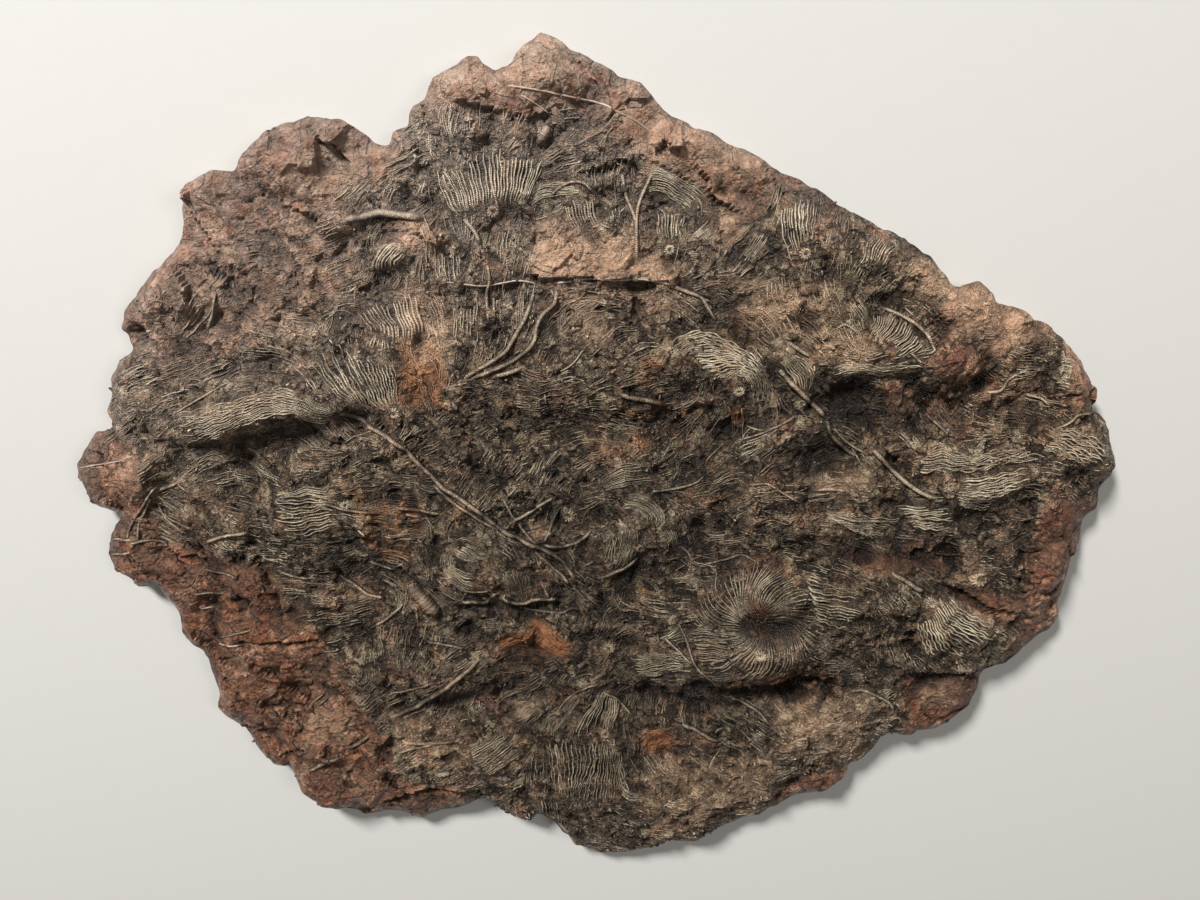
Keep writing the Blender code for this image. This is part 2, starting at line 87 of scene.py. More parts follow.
# The outline in mm, clockwise from the top peak
OUTLINE = [
    (-55,647),(-26,636),(-14,625),(18,610),(36,601),(41,593),(70,585),(90,564),(108,545),
    (134,534),(160,525),(178,513),(204,502),(238,484),(254,471),(284,461),(304,450),
    (354,418),(392,398),(426,383),(464,357),(498,318),(534,323),(556,305),(562,294),
    (604,279),(613,270),(646,256),(680,220),(692,207),(700,190),(711,173),(724,161),
    (720,133),(732,128),(744,116),(754,82),(765,46),(761,25),(752,8),(754,-10),(751,-26),
    (735,-39),(734,-76),(721,-100),(722,-139),(719,-166),(714,-177),(722,-205),(717,-221),
    (706,-232),(693,-237),(667,-263),(644,-284),(612,-295),(607,-324),(592,-361),(557,-397),
    (537,-405),(512,-403),(506,-414),(486,-416),(471,-410),(455,-425),(427,-463),(407,-470),
    (398,-499),(381,-515),(366,-525),(340,-530),(316,-538),(294,-553),(274,-557),(261,-573),
    (238,-575),(194,-595),(151,-623),(101,-624),(75,-636),(47,-640),(-3,-647),(-20,-645),
    (-59,-622),(-98,-569),(-117,-552),(-127,-567),(-137,-571),(-161,-556),(-208,-517),
    (-256,-542),(-302,-555),(-311,-564),(-322,-563),(-348,-545),(-373,-541),(-390,-551),
    (-412,-553),(-425,-546),(-452,-539),(-483,-517),(-513,-486),(-520,-454),(-527,-443),
    (-549,-438),(-568,-416),(-604,-366),(-626,-326),(-619,-308),(-618,-278),(-624,-236),
    (-646,-214),(-657,-185),(-656,-157),(-681,-107),(-708,-109),(-741,-83),(-750,-58),
    (-744,-35),(-729,-7),(-717,3),(-717,15),(-741,23),(-753,33),(-765,72),(-761,95),
    (-744,115),(-723,142),(-701,149),(-696,158),(-702,170),(-690,193),(-686,217),(-668,248),
    (-648,256),(-651,280),(-659,288),(-649,313),(-596,365),(-569,387),(-551,413),(-545,443),
    (-537,470),(-529,479),(-494,495),(-469,492),(-453,510),(-413,545),(-376,553),(-360,559),
    (-343,557),(-316,552),(-296,538),(-278,524),(-260,518),(-256,536),(-234,541),(-230,560),
    (-206,578),(-196,600),(-170,610),(-150,622),(-134,622),(-116,606),(-100,612),(-76,634),
]

HILLS = [
    (-0.500,0.170,0.150,0.050,14,0.024),  # long bundle of arms, left
    (-0.450,0.118,0.130,0.030,12,-0.008),  # hollow under the bundle
    (-0.330,0.240,0.150,0.140,0,0.012),  # large fan
    (-0.370,0.480,0.120,0.080,0,0.010),  # upper left block
    (-0.300,0.492,0.060,0.016,0,-0.005),  # dark gap under that block
    (-0.600,0.325,0.080,0.055,40,0.016),  # left shoulder
    (-0.640,0.200,0.070,0.060,0,0.014),
    (-0.640,0.277,0.022,0.018,0,-0.024),  # hollow in the left edge
    (-0.700,0.085,0.075,0.070,0,0.016),  # round lobe, far left
    (-0.712,-0.055,0.050,0.050,0,0.010),
    (-0.640,0.040,0.030,0.110,-25,-0.010),
    (-0.565,-0.142,0.022,0.010,0,-0.014),  # pit
    (-0.470,-0.360,0.170,0.140,0,0.006),
    (-0.430,0.015,0.140,0.070,-4,0.014),  # wavy arms, left
    (-0.360,-0.095,0.080,0.035,-10,-0.012),
    (-0.460,-0.070,0.070,0.040,0,0.010),
    (-0.190,-0.085,0.075,0.065,0,0.014),
    (-0.270,-0.260,0.110,0.060,0,0.018),
    (-0.290,-0.340,0.100,0.022,12,-0.008),
    (-0.178,-0.435,0.075,0.065,0,0.024),  # ball of arms
    (-0.040,-0.470,0.085,0.100,0,0.012),  # brush of arms at the bottom
    (-0.105,-0.170,0.120,0.022,0,-0.012),
    (0.030,0.065,0.080,0.075,0,0.020),  # smooth dome in the middle
    (0.035,-0.030,0.075,0.055,0,0.010),
    (-0.060,0.130,0.090,0.030,0,-0.010),
    (0.060,-0.115,0.045,0.032,0,-0.018),  # hole in the middle
    (0.120,0.215,0.160,0.060,0,0.018),  # swirl of arms
    (0.225,0.180,0.060,0.080,-35,0.012),
    (0.130,0.120,0.120,0.035,0,-0.012),
    (0.385,0.230,0.140,0.050,0,0.018),
    (0.400,0.135,0.130,0.045,-8,-0.013),  # deep valley, right
    (0.325,0.080,0.050,0.040,0,-0.020),
    (0.560,0.045,0.140,0.065,0,0.018),  # strong ribs, right
    (0.715,0.060,0.060,0.070,0,0.010),
    (0.705,0.030,0.036,0.024,-30,-0.014),
    (0.600,0.250,0.060,0.045,-20,0.018),  # smooth block, upper right
    (0.525,0.290,0.050,0.035,0,0.010),
    (0.505,0.210,0.045,0.040,0,0.016),
    (0.556,0.178,0.020,0.016,0,-0.018),
    (0.610,0.130,0.070,0.022,0,-0.012),
    (0.688,0.180,0.028,0.075,18,0.010),
    (0.690,-0.090,0.045,0.120,0,0.010),  # brown band, right edge
    (0.430,-0.075,0.110,0.040,0,-0.012),
    (0.300,0.000,0.160,0.060,0,0.008),
    (0.245,-0.205,0.165,0.130,0,0.030),  # great ring of arms
    (0.250,-0.200,0.050,0.042,0,-0.034),  # its hollow middle
    (0.095,-0.245,0.090,0.060,0,0.022),
    (0.170,-0.335,0.190,0.032,0,-0.012),  # undercut below the ring
    (0.440,-0.160,0.070,0.065,-20,0.020),
    (0.550,-0.205,0.110,0.060,-35,0.020),
    (0.350,-0.395,0.120,0.075,20,0.018),
    (0.540,-0.345,0.080,0.050,0,-0.012),  # low smooth corner
    (0.200,-0.500,0.150,0.075,15,0.008),
    (0.100,-0.400,0.070,0.030,0,-0.008),
    (0.172,-0.490,0.025,0.018,0,-0.014),
    (-0.050,0.605,0.080,0.050,0,0.014),  # smooth blocks at the top
    (-0.150,0.600,0.045,0.032,0,0.010),
    (0.060,0.570,0.050,0.045,0,0.012),
    (0.200,0.475,0.130,0.045,-30,0.012),
    (0.010,0.385,0.100,0.040,-12,0.012),
    (-0.055,0.527,0.026,0.020,0,-0.014),  # pit with a small cup
    (-0.115,0.420,0.055,0.032,0,-0.014),
    (-0.230,0.410,0.045,0.032,0,0.010),
    (-0.270,0.378,0.040,0.030,0,0.012),
    (0.270,0.390,0.050,0.060,0,0.008),
    (0.400,0.365,0.070,0.045,-30,0.010),
]

LEDGES = [
    (0.010,0.030,[-0.020,0.475,0.065,0.497,0.110,0.478,0.155,0.450,0.215,0.412]),(0.011,0.030,[-0.064,0.415,
    -0.090,0.345,0.000,0.340,0.120,0.330]),(0.008,0.035,[-0.600,-0.208,-0.430,-0.205]),(0.014,0.030,[0.470,
    -0.292,0.520,-0.300,0.605,-0.300]),(0.016,0.030,[-0.385,-0.532,-0.350,-0.510,-0.290,-0.498,-0.205,
    -0.500]),(0.012,0.030,[0.500,-0.130,0.555,-0.150,0.600,-0.177,0.650,-0.190]),(0.012,0.025,[-0.556,0.300,
    -0.550,0.345,-0.570,0.372]),(0.009,0.030,[0.200,-0.300,0.280,-0.306,0.360,-0.300]),(0.007,0.025,[-0.590,
    0.125,-0.510,0.135,-0.460,0.160,-0.395,0.152]),(0.010,0.030,[0.320,0.196,0.400,0.198,0.480,0.205]),
    (0.008,0.020,[-0.190,0.575,-0.135,0.562,-0.080,0.548,-0.036,0.560]),(0.008,0.020,[0.660,-0.010,0.655,
    -0.060,0.650,-0.110,0.655,-0.160]),
]

# Crowns, lowest first. Each: arms, rise in mm, wave in mm, share of the arm before it forks,
# tone, and guide lines in mm from the cup out to the tips, in order across the crown.
CROWNS = [
    # Large fan, left: the sheaves behind, the fan over one cup, and a small crown nested on it
    (15,4.0,0.9,0.1,0.42,[[-302,267,-309,284,-318,297,-325,308],[-287,266,-291,286,-302,301,-309,314],[-273,
    255,-275,281,-286,298,-294,317],[-262,257,-262,281,-268,304,-274,327],[-249,261,-250,282,-257,306,-261,
    331],[-234,265,-236,284,-241,308,-242,335]]),
    (9,3.5,0.9,0.2,0.46,[[-390,127,-409,155,-426,187],[-381,131,-399,161,-417,191],[-369,135,-388,166,-405,
    195]]),
    (21,7.0,1.0,0.32,0.55,[[-333,162,-365,187,-385,217,-406,248],[-322,163,-349,192,-369,227,-381,267],
    [-313,162,-336,196,-353,234,-361,271],[-305,164,-320,197,-334,231,-344,257],[-297,166,-305,199,-314,233,
    -322,241],[-289,170,-292,201,-299,232,-305,238],[-281,174,-279,203,-281,232,-283,249]]),
    (9,8.0,0.3,0.0,0.50,[[-329,245,-324,257,-316,265],[-319,246,-314,259,-308,269],[-309,247,-303,260,-299,
    272],[-296,246,-292,258,-291,267],[-286,244,-284,253,-287,262]]),
    # Long bundle, left
    (17,5.0,1.0,0.12,0.58,[[-378,168,-426,197,-468,195,-510,184,-552,175,-594,167,-611,156],[-376,158,-430,
    180,-478,176,-535,156,-575,145,-602,139],[-375,148,-412,154,-437,164,-468,159,-510,145,-552,128,-594,
    121]]),
    # Comb at the top, and the sweep to its right
    (9,4.0,0.8,0.15,0.60,[[-92,437,-78,452,-59,464,-28,466,2,464],[-90,430,-74,441,-56,448,-34,450,-8,
    452]]),
    (33,6.5,0.8,0.18,0.74,[[-176,427,-188,444,-196,469,-199,491],[-166,436,-174,463,-188,484],[-158,430,
    -161,452,-167,475,-178,492],[-146,436,-151,468,-157,497],[-134,440,-137,475,-140,504],[-124,440,-122,
    478,-123,507],[-113,440,-108,478,-109,510],[-102,438,-92,475,-87,502],[-94,436,-80,468,-71,499],[-88,
    434,-74,460,-55,495]]),
    # Small curled crown
    (10,4.5,0.6,0.1,0.55,[[-299,359,-292,377,-282,389,-272,398],[-290,357,-287,371,-279,383,-265,393,-251,
    395],[-282,358,-279,371,-271,380,-260,389,-247,391],[-271,360,-270,370,-263,378,-253,385,-244,386],
    [-260,362,-260,368,-253,374,-245,381]]),
    # Small crowns right of the comb
    (10,3.5,0.9,0.2,0.50,[[-34,443,-31,425,-22,407],[-15,446,-12,428,-6,409],[4,443,6,425,11,407]]),
    (12,5.0,0.8,0.1,0.50,[[68,475,90,481,118,467,146,455,159,443,157,429],[70,463,94,468,116,456,138,443,
    148,432,146,420],[74,450,94,452,108,442,124,431,132,420]]),
    (10,3.0,1.0,0.2,0.62,[[88,426,90,405,92,386],[99,428,101,405,103,383],[112,426,112,404,110,383],[127,
    421,123,402,118,385]]),
    (6,3.0,0.6,0.1,0.66,[[160,415,146,401,131,388],[160,403,147,393,135,381]]),
    (13,5.0,0.9,0.2,0.62,[[256,434,256,402,264,374,274,350],[270,438,269,405,276,376,283,352],[285,438,285,
    408,288,383],[301,432,299,402,296,378]]),
    (7,3.0,0.8,0.1,0.56,[[200,360,214,380,227,398],[214,355,228,374,243,391]]),
    (6,3.0,0.8,0.1,0.52,[[316,400,313,382,309,364],[328,402,326,384,322,366]]),
    # Crowns along the upper right edge
    (13,5.0,0.9,0.2,0.64,[[364,352,369,375,380,397],[375,350,382,372,396,393],[386,347,395,367,410,385],
    [397,343,406,361,422,377]]),
    (14,4.0,0.4,0.0,0.60,[[402,379,412,393],[421,368,431,381],[440,355,451,367]]),
    (8,3.0,0.8,0.2,0.50,[[352,300,362,284,376,268],[366,306,374,292,386,276]]),
    (23,5.0,1.0,0.1,0.70,[[388,286,386,272,378,256],[404,284,399,268,386,247],[421,278,411,262,396,240],
    [439,268,425,251,407,232],[454,257,438,241,420,226],[468,242,452,230,433,217]]),
    (9,4.0,1.2,0.1,0.66,[[330,206,360,213,400,209,440,213,474,205],[338,192,370,198,410,195,452,199]]),
    # Swirl of arms, right of the middle
    (28,6.0,1.3,0.10,0.60,[[98,240,120,258,145,265,165,261,187,250,207,239,227,224,242,204,251,188,256,170],
    [110,234,140,248,166,247,186,237,206,226,225,211,239,195,247,180,250,160],[124,225,150,233,176,229,200,
    225,216,219,231,207,242,190,246,172,243,152],[158,211,180,208,196,212,211,207,225,197,233,181,236,160,
    235,146],[180,190,198,201,213,196,222,184,226,166,224,148]]),
    (7,2.5,0.6,0.0,0.40,[[196,188,199,172,201,158],[214,186,213,172,212,158]]),
    (12,4.0,0.9,0.1,0.58,[[272,238,285,224,297,218,306,207,309,193,306,176],[265,230,278,216,292,205,300,
    190,300,168],[259,223,272,205,285,188,292,168]]),
    # Wavy arms, left
    (17,6.0,1.4,0.10,0.62,[[-395,44,-420,51,-440,47,-462,43,-492,46],[-390,28,-405,33,-425,38,-450,36,-484,
    38],[-388,14,-410,20,-430,14,-455,16,-490,21],[-385,2,-405,2,-430,-2,-450,-8,-484,-3],[-388,-12,-405,
    -15,-430,-23,-450,-29,-480,-25]]),
    (13,5.0,0.6,0.0,0.50,[[2,52,25,66,50,74,76,75],[4,42,28,51,52,57,80,58],[10,30,32,37,56,41,82,41]]),
    # Disc of arms under the main stem, and the fine fan beside it
    (7,3.0,0.8,0.0,0.36,[[-158,-46,-185,-36,-212,-40,-233,-57,-242,-80,-234,-103,-215,-121,-188,-131,-160,
    -127],[-166,-58,-187,-49,-209,-55,-223,-74,-220,-95,-203,-109,-180,-112]]),
    (14,3.5,0.7,0.0,0.44,[[-230,-60,-209,-71,-190,-82],[-220,-49,-201,-60,-178,-77],[-202,-42,-186,-54,-163,
    -70]]),
    (5,2.0,0.6,0.0,0.50,[[-233,-78,-210,-93,-184,-100],[-231,-92,-212,-108,-192,-118]]),
    (15,3.0,0.5,0.2,0.46,[[-153,-96,-142,-115,-139,-137],[-132,-93,-125,-115,-122,-139],[-109,-97,-107,-115,
    -105,-133]]),
    # Bundles along the thick slanting stem
    (7,3.0,0.8,0.1,0.62,[[-243,-264,-225,-251,-203,-239],[-227,-272,-210,-259,-188,-244]]),
    (10,3.0,0.8,0.1,0.46,[[-246,-338,-235,-318,-227,-299],[-231,-335,-220,-315,-211,-297],[-215,-332,-205,
    -312,-197,-297]]),
    # Ball of arms
    (19,5.0,0.8,0.0,0.52,[[-228,-412,-205,-396,-180,-382],[-224,-434,-195,-412,-158,-388],[-212,-454,-180,
    -429,-143,-398],[-195,-466,-165,-446,-133,-420]]),
    (8,3.0,0.8,0.1,0.62,[[-150,-352,-130,-338,-109,-324],[-137,-371,-120,-353,-103,-338]]),
    # Brush at the bottom
    (13,3.5,1.0,0.1,0.60,[[-5,-308,-20,-340,-40,-370,-49,-397],[6,-310,0,-340,-9,-370,-13,-400],[19,-320,20,
    -350,12,-380,8,-402]]),
    (10,3.5,1.0,0.1,0.52,[[-44,-312,-70,-335,-92,-355,-106,-382],[-39,-325,-55,-350,-75,-375,-86,-400]]),
    (26,4.5,1.0,0.10,0.30,[[-96,-395,-93,-430,-90,-470,-88,-512],[-66,-400,-62,-440,-63,-480,-66,-522],[-26,
    -405,-25,-445,-38,-480,-46,-518],[0,-400,-3,-450,-8,-495,-12,-532],[12,-395,14,-440,14,-490,12,-532],
    [25,-400,26,-440,33,-490,40,-522]]),
    (6,2.5,0.8,0.1,0.52,[[20,-504,35,-520,55,-526,72,-521],[26,-494,40,-508,58,-513]]),
    # Folded crown left of the ring
    (15,5.0,1.2,0.1,0.52,[[50,-250,80,-243,110,-240,136,-246],[50,-268,82,-258,112,-256,141,-263],[58,-286,
    90,-281,120,-277,146,-284]]),
    (14,3.0,0.9,0.0,0.44,[[136,-206,166,-204,203,-211],[138,-232,168,-230,206,-237],[145,-260,172,-259,208,
    -264]]),
    # Arms that stream away right of the ring
    (15,4.0,1.3,0.1,0.58,[[304,-103,330,-118,350,-124,376,-137,404,-140],[318,-134,340,-145,366,-150,400,
    -158],[326,-163,350,-172,376,-178,404,-186],[332,-190,355,-200,384,-210]]),
    # Bold fan, lower right
    (18,8.0,1.3,0.10,0.76,[[533,-152,550,-174,570,-189,590,-199,614,-211],[528,-158,540,-180,560,-197,585,
    -212,610,-226],[521,-164,530,-186,546,-203,571,-218,600,-235,616,-247],[516,-178,525,-200,540,-218,565,
    -237,588,-256],[509,-190,521,-213,535,-236,552,-255,571,-269],[500,-194,511,-218,520,-240,533,-257],
    [489,-197,498,-222,507,-245,515,-263]]),
    # Bold ribs, right
    (11,6.0,1.8,0.0,0.62,[[473,80,503,86,530,74,555,71,580,79,602,76,627,83,654,78],[468,62,500,67,530,61,
    555,61,580,67,606,67,632,71,658,68],[466,46,500,49,526,47,555,47,578,52,602,59,626,61,652,57]]),
    (17,7.0,1.2,0.12,0.70,[[526,31,555,36,580,39,606,45,627,49,650,43],[526,21,558,21,588,26,616,33,645,35],
    [526,12,555,11,582,13,608,19,630,23],[528,4,553,1,579,4,602,8],[532,-3,555,-11,582,-15]]),
    (11,4.0,1.6,0.1,0.60,[[333,-6,365,-14,400,-22,440,-26,472,-24],[343,-22,380,-31,410,-40,447,-44],[378,
    -40,400,-50,428,-60]]),
    (10,4.0,1.4,0.1,0.70,[[438,-3,475,-8,527,-12],[452,-22,490,-26,530,-28],[468,-38,500,-44,528,-48]]),
    (15,4.0,1.8,0.1,0.56,[[653,119,690,106,725,94,748,76],[649,98,685,85,720,71,746,54],[646,80,680,66,712,
    54]]),
    (12,3.5,0.6,0.0,0.64,[[650,212,665,214,681,209],[649,190,666,191,683,187],[651,168,666,168,681,163]]),
    # Finely lined patch below the middle dome
    (15,3.5,0.5,0.0,0.46,[[40,29,65,23,88,8,99,-12,96,-30,80,-43],[37,15,60,11,80,-2,87,-16,80,-29],[35,2,
    52,0,66,-8,70,-19]]),
    (15,2.5,0.6,0.0,0.42,[[14,-8,30,-30,32,-55,26,-80,12,-100],[30,-12,45,-35,46,-60,38,-82,24,-102],[48,
    -20,58,-40,58,-60,51,-82]]),
    (6,3.0,0.5,0.0,0.72,[[97,-30,103,-45,107,-60],[110,-27,116,-42,120,-57]]),
]

# The great ring, in mm: middle, inner and outer reach, arms, rise, and degrees that arms sweep round
RING = ((247,-196),20,112,96,6.0,40)

# Which way the loose arms run: x and y in mm, direction in degrees
FLOW = [
    (75,362,-35),(165,360,15),(215,345,15),(255,300,-45),(290,322,-70),(330,345,-80),
    (345,270,-60),(200,285,-25),(350,225,-10),(430,325,10),(452,290,-35),(600,215,-10),
    (640,150,-40),(588,160,15),(600,110,-5),(540,140,-40),(500,120,-50),(700,20,-35),
    (-560,60,20),(-600,72,35),(-520,72,-30),(-590,20,-40),(-515,-5,-10),(-440,80,-10),
    (-400,76,10),(-350,60,10),(-310,50,0),(-265,30,-30),(-350,110,15),(-230,80,40),
    (-200,52,55),(-150,92,50),(-120,60,60),(-210,8,50),(-290,-30,20),(-350,-30,-35),
    (-390,-62,32),(-440,-68,-15),(-402,-22,-20),(-482,-82,-15),(-270,-72,-50),
    (-255,-125,-30),(-360,-150,20),(-400,-190,15),(-440,-152,5),(-300,-180,80),
    (-330,-226,85),(-290,-230,80),(-250,-226,70),(-350,-262,-85),(-270,-272,28),
    (-330,-322,20),(-372,-322,40),(-190,-282,20),(-110,-292,60),(-70,-300,20),
    (-150,-268,-20),(-20,-260,60),(-30,200,35),(10,182,10),(-92,190,-20),(-60,242,60),
    (-10,282,55),(40,292,-35),(84,286,-40),(30,240,40),(130,210,40),(90,180,-15),
    (-20,120,15),(20,122,-10),(100,120,50),(150,130,45),(130,62,20),(190,62,50),
    (230,82,45),(270,110,20),(290,42,60),(250,12,-20),(200,2,40),(150,2,10),
    (270,-32,-10),(300,-4,-10),(190,-62,15),(150,-78,5),(110,-82,60),(240,-72,-5),
    (322,-74,-25),(118,-142,-10),(380,-232,-30),(332,-222,-40),(285,-262,-38),
    (440,-160,-50),(425,-220,70),(460,-240,-60),(130,-330,80),(200,-392,-30),
    (252,-422,-30),(600,-262,-30),(640,-232,-20),(560,-45,60),(600,-30,-40),(630,-62,50),
    (575,-85,-20),(560,-272,-50),(430,-345,35),(330,-462,10),(60,140,-25),(-220,360,-70),
    (-130,385,80),(-110,350,85),(-350,360,20),(-400,330,10),(-450,300,-20),(-520,300,50),
    (-560,230,20),(-500,240,10),(-400,390,20),(-60,395,60),(-170,330,85),(-160,260,85),
    (-110,300,80),(-30,320,5),(-230,470,30),(30,440,70),(180,440,30),(225,420,60),
    (340,400,-60),(-470,180,12),(-180,160,20),(-140,150,-20),(-90,140,20),(-250,200,-80),
    (-60,20,60),(-60,-90,-50),(-10,-60,10),(-70,-20,60),(380,60,-40),(430,20,-35),
    (340,30,20),(480,20,-30),
]
# Stems: radius in mm, tone, and the line each lies along in mm
STEMS = [
    (4.4,0.62,[-366,160,-336,147,-322,137,-308,123,-285,110,-264,98,-257,82,-246,62,-236,49,-216,34,-196,22,
    -182,6,-166,-9,-150,-21,-138,-31,-122,-41,-104,-52,-84,-60,-66,-72,-55,-88,-43,-106,-34,-122,-25,-139]),
    (3.4,0.52,[-240,46,-226,30,-208,14,-192,2,-174,-12,-158,-22,-146,-32]),(3.4,0.46,[-97,-64,-82,-80,-66,
    -96,-52,-112,-42,-130]),(3.0,0.86,[-124,-12,-105,-1,-85,12,-62,25]),(2.6,0.44,[-145,-30,-134,-20,-122,
    -11]),(2.2,0.60,[-141,23,-133,6,-125,-13]),(2.0,0.56,[-136,24,-120,39]),(2.4,0.50,[-119,-19,-107,-38,
    -96,-52]),(3.2,0.80,[-84,-54,-62,-57,-42,-53,-27,-46,-16,-36,-8,-26]),(2.6,0.50,[-84,-50,-76,-34,-69,
    -15,-61,0,-52,10]),(3.4,0.60,[-214,-147,-196,-145,-180,-147,-171,-141,-163,-133,-150,-133]),(3.6,0.66,
    [-152,-140,-139,-148,-120,-149,-100,-144,-80,-144,-60,-146,-44,-149]),(2.8,0.58,[-126,-159,-100,-163,
    -80,-167,-60,-168,-45,-161,-30,-166]),(2.2,0.50,[-92,-114,-83,-134,-78,-152]),(2.4,0.74,[-26,-91,-8,
    -82]),(3.6,0.62,[-80,322,-87,303,-95,286,-109,264,-121,245,-141,231,-168,216,-194,200]),(3.4,0.56,[-48,
    328,-51,309,-67,295,-77,281,-80,261,-93,244,-115,229,-150,214,-186,202]),(2.6,0.54,[-140,361,-139,340,
    -144,322,-144,281]),(2.4,0.50,[-134,330,-136,284]),(3.8,0.60,[-139,208,-123,212,-101,219]),(1.6,1.00,
    [-48,212,-30,223,-14,243]),(5.6,0.64,[-325,427,-300,429,-280,434,-252,430,-216,426]),(3.4,0.70,[-167,
    422,-154,406,-147,386]),(2.6,0.66,[44,473,49,446,58,424,63,406]),(2.6,0.66,[83,473,71,449,64,430,62,405,
    62,358]),(2.4,0.40,[-52,448,-38,460,-22,466,-5,463,10,446]),(4.6,0.78,[262,205,275,190,290,175,305,160,
    321,145,333,128]),(4.0,0.44,[333,128,340,108,362,86,382,72]),(2.4,0.70,[344,117,358,101,375,88,396,75,
    408,62]),(4.4,0.72,[400,86,418,67,434,50,450,35,470,20,490,9,512,0]),(3.2,0.62,[112,326,135,317,150,310,
    158,298,166,284,173,277]),(2.0,0.90,[118,325,136,316,168,302]),(4.6,0.50,[38,176,60,170,80,166,104,
    159]),(2.6,0.48,[78,198,88,200,95,190]),(2.0,0.74,[216,125,240,118,272,125]),(2.0,0.66,[207,104,235,112,
    260,122,290,139]),(2.2,0.76,[81,28,100,30,120,33,140,38,151,44,159,53]),(2.4,0.64,[222,34,250,35,266,25,
    286,12,307,0]),(2.0,0.70,[160,-93,180,-88,200,-83,215,-78,230,-86,243,-95]),(3.4,0.74,[-4,-112,15,-105,
    25,-100,36,-95,50,-85,61,-74]),(4.6,0.70,[-346,-351,-320,-338,-300,-328,-275,-312,-250,-295,-225,-275,
    -204,-257,-188,-239]),(2.2,0.66,[-341,-305,-315,-300,-290,-294,-272,-289]),(1.8,0.60,[-322,-284,-304,
    -284]),(2.8,0.80,[-341,-419,-320,-412,-300,-408,-279,-405]),(2.6,0.80,[-330,-399,-305,-402,-280,-402,
    -250,-400,-229,-396]),(2.2,0.60,[-90,-356,-75,-345,-60,-325,-40,-310,-20,-302,2,-295]),(1.8,0.66,[-166,
    -500,-135,-487]),(2.0,0.60,[-12,-284,-25,-279,-42,-285]),(2.8,0.52,[0,-315,20,-325,35,-345,46,-362]),
    (2.4,0.48,[25,-330,20,-355,9,-382]),(2.6,0.64,[98,-218,110,-231,125,-248,140,-268]),(2.6,0.60,[116,-186,
    126,-206,133,-226,139,-248,148,-272,166,-291,180,-305,189,-320]),(3.2,0.68,[204,-329,225,-340,246,-355,
    259,-370,271,-389]),(1.8,0.90,[191,-424,183,-440,175,-455,172,-471]),(2.4,0.76,[179,-401,184,-390,196,
    -388]),(4.2,0.70,[128,-380,145,-386,160,-397,176,-408,196,-412]),(5.0,0.72,[449,-119,470,-131,488,-144,
    502,-149]),(3.4,0.66,[398,-326,415,-322,431,-330,450,-340,463,-351,471,-370]),(2.4,0.60,[465,-384,473,
    -376,482,-381,480,-392]),(2.4,0.80,[565,-279,568,-296]),(3.4,0.72,[-590,-33,-555,-23,-518,-20]),(2.2,
    0.50,[-647,42,-615,14]),(2.0,0.50,[-650,30,-640,5,-614,-22]),(2.0,0.62,[-616,61,-600,44]),(3.0,0.66,
    [-643,52,-611,63]),(2.4,0.40,[-706,-22,-690,6,-670,30,-655,50,-638,61]),(2.4,0.44,[-690,-26,-683,0,-670,
    20,-658,42]),(2.6,0.74,[-746,-26,-722,-24,-700,-28]),(2.6,0.74,[-747,-48,-705,-48]),(2.4,0.60,[-702,-33,
    -680,-28,-656,-30,-649,-42]),(2.8,0.74,[-490,-83,-460,-95,-434,-98]),(2.6,0.60,[-600,-80,-570,-85,-549,
    -98]),(2.2,0.60,[-622,-121,-600,-117,-575,-120]),(2.2,0.56,[-600,-196,-570,-190,-540,-182]),(3.0,0.50,
    [-360,-186,-340,-175,-320,-160,-304,-145]),(2.4,0.42,[-286,-159,-284,-192]),(3.2,0.66,[-397,-94,-375,
    -110,-360,-125,-345,-131,-325,-135]),(2.6,0.72,[-347,-73,-330,-80,-308,-89]),(2.4,0.95,[-312,-83,-298,
    -78]),(2.0,1.00,[-244,-104,-225,-104]),(2.8,0.66,[-275,-212,-245,-219,-213,-229]),(4.0,0.58,[-492,-450,
    -475,-440,-455,-430,-433,-424]),(3.4,0.54,[-421,-406,-400,-395,-379,-379]),(2.0,0.62,[-462,-326,-437,
    -305]),(2.0,0.62,[-468,-318,-444,-299]),(2.6,0.66,[558,165,578,167,587,183,602,191]),(2.4,0.90,[614,160,
    635,155,645,148,653,141]),(2.6,0.80,[669,107,684,117,692,126,710,130,722,131]),(3.4,0.92,[271,246,285,
    236,297,228,306,222]),(3.2,0.80,[388,293,402,289,421,281,440,271,455,260,470,244,476,229]),(2.4,0.76,
    [470,242,478,228,464,220]),(2.6,0.70,[478,132,494,118,512,102]),(2.6,0.70,[340,262,350,268,368,256]),
    (2.2,0.80,[444,226,455,216,462,210]),(2.4,0.56,[-514,334,-521,309,-534,282]),(1.8,0.90,[-602,166,-558,
    189,-508,215]),(2.4,0.50,[-128,470,-120,430]),(2.6,0.60,[510,-86,540,-89,562,-91]),(2.6,0.52,[-420,22,
    -400,22,-380,14,-350,8,-320,6]),(3.0,0.48,[-300,13,-270,10,-250,5,-235,0]),(2.6,0.95,[-286,2,-264,-3]),
    (2.4,0.62,[-360,-22,-346,-34]),(2.0,0.76,[-256,-4,-247,-21]),(2.8,0.60,[320,22,345,24,372,18]),(2.4,
    0.70,[350,-17,380,-27,410,-29,442,-31]),
]

# Short thick stubs of ringed stem: half length and radius in mm, middle, direction, tone
STUBS = [(23,12,(-273,-139),-53,0.30),(10,7,(-57,524),60,0.70),(9,6,(-270,-462),10,0.70)]

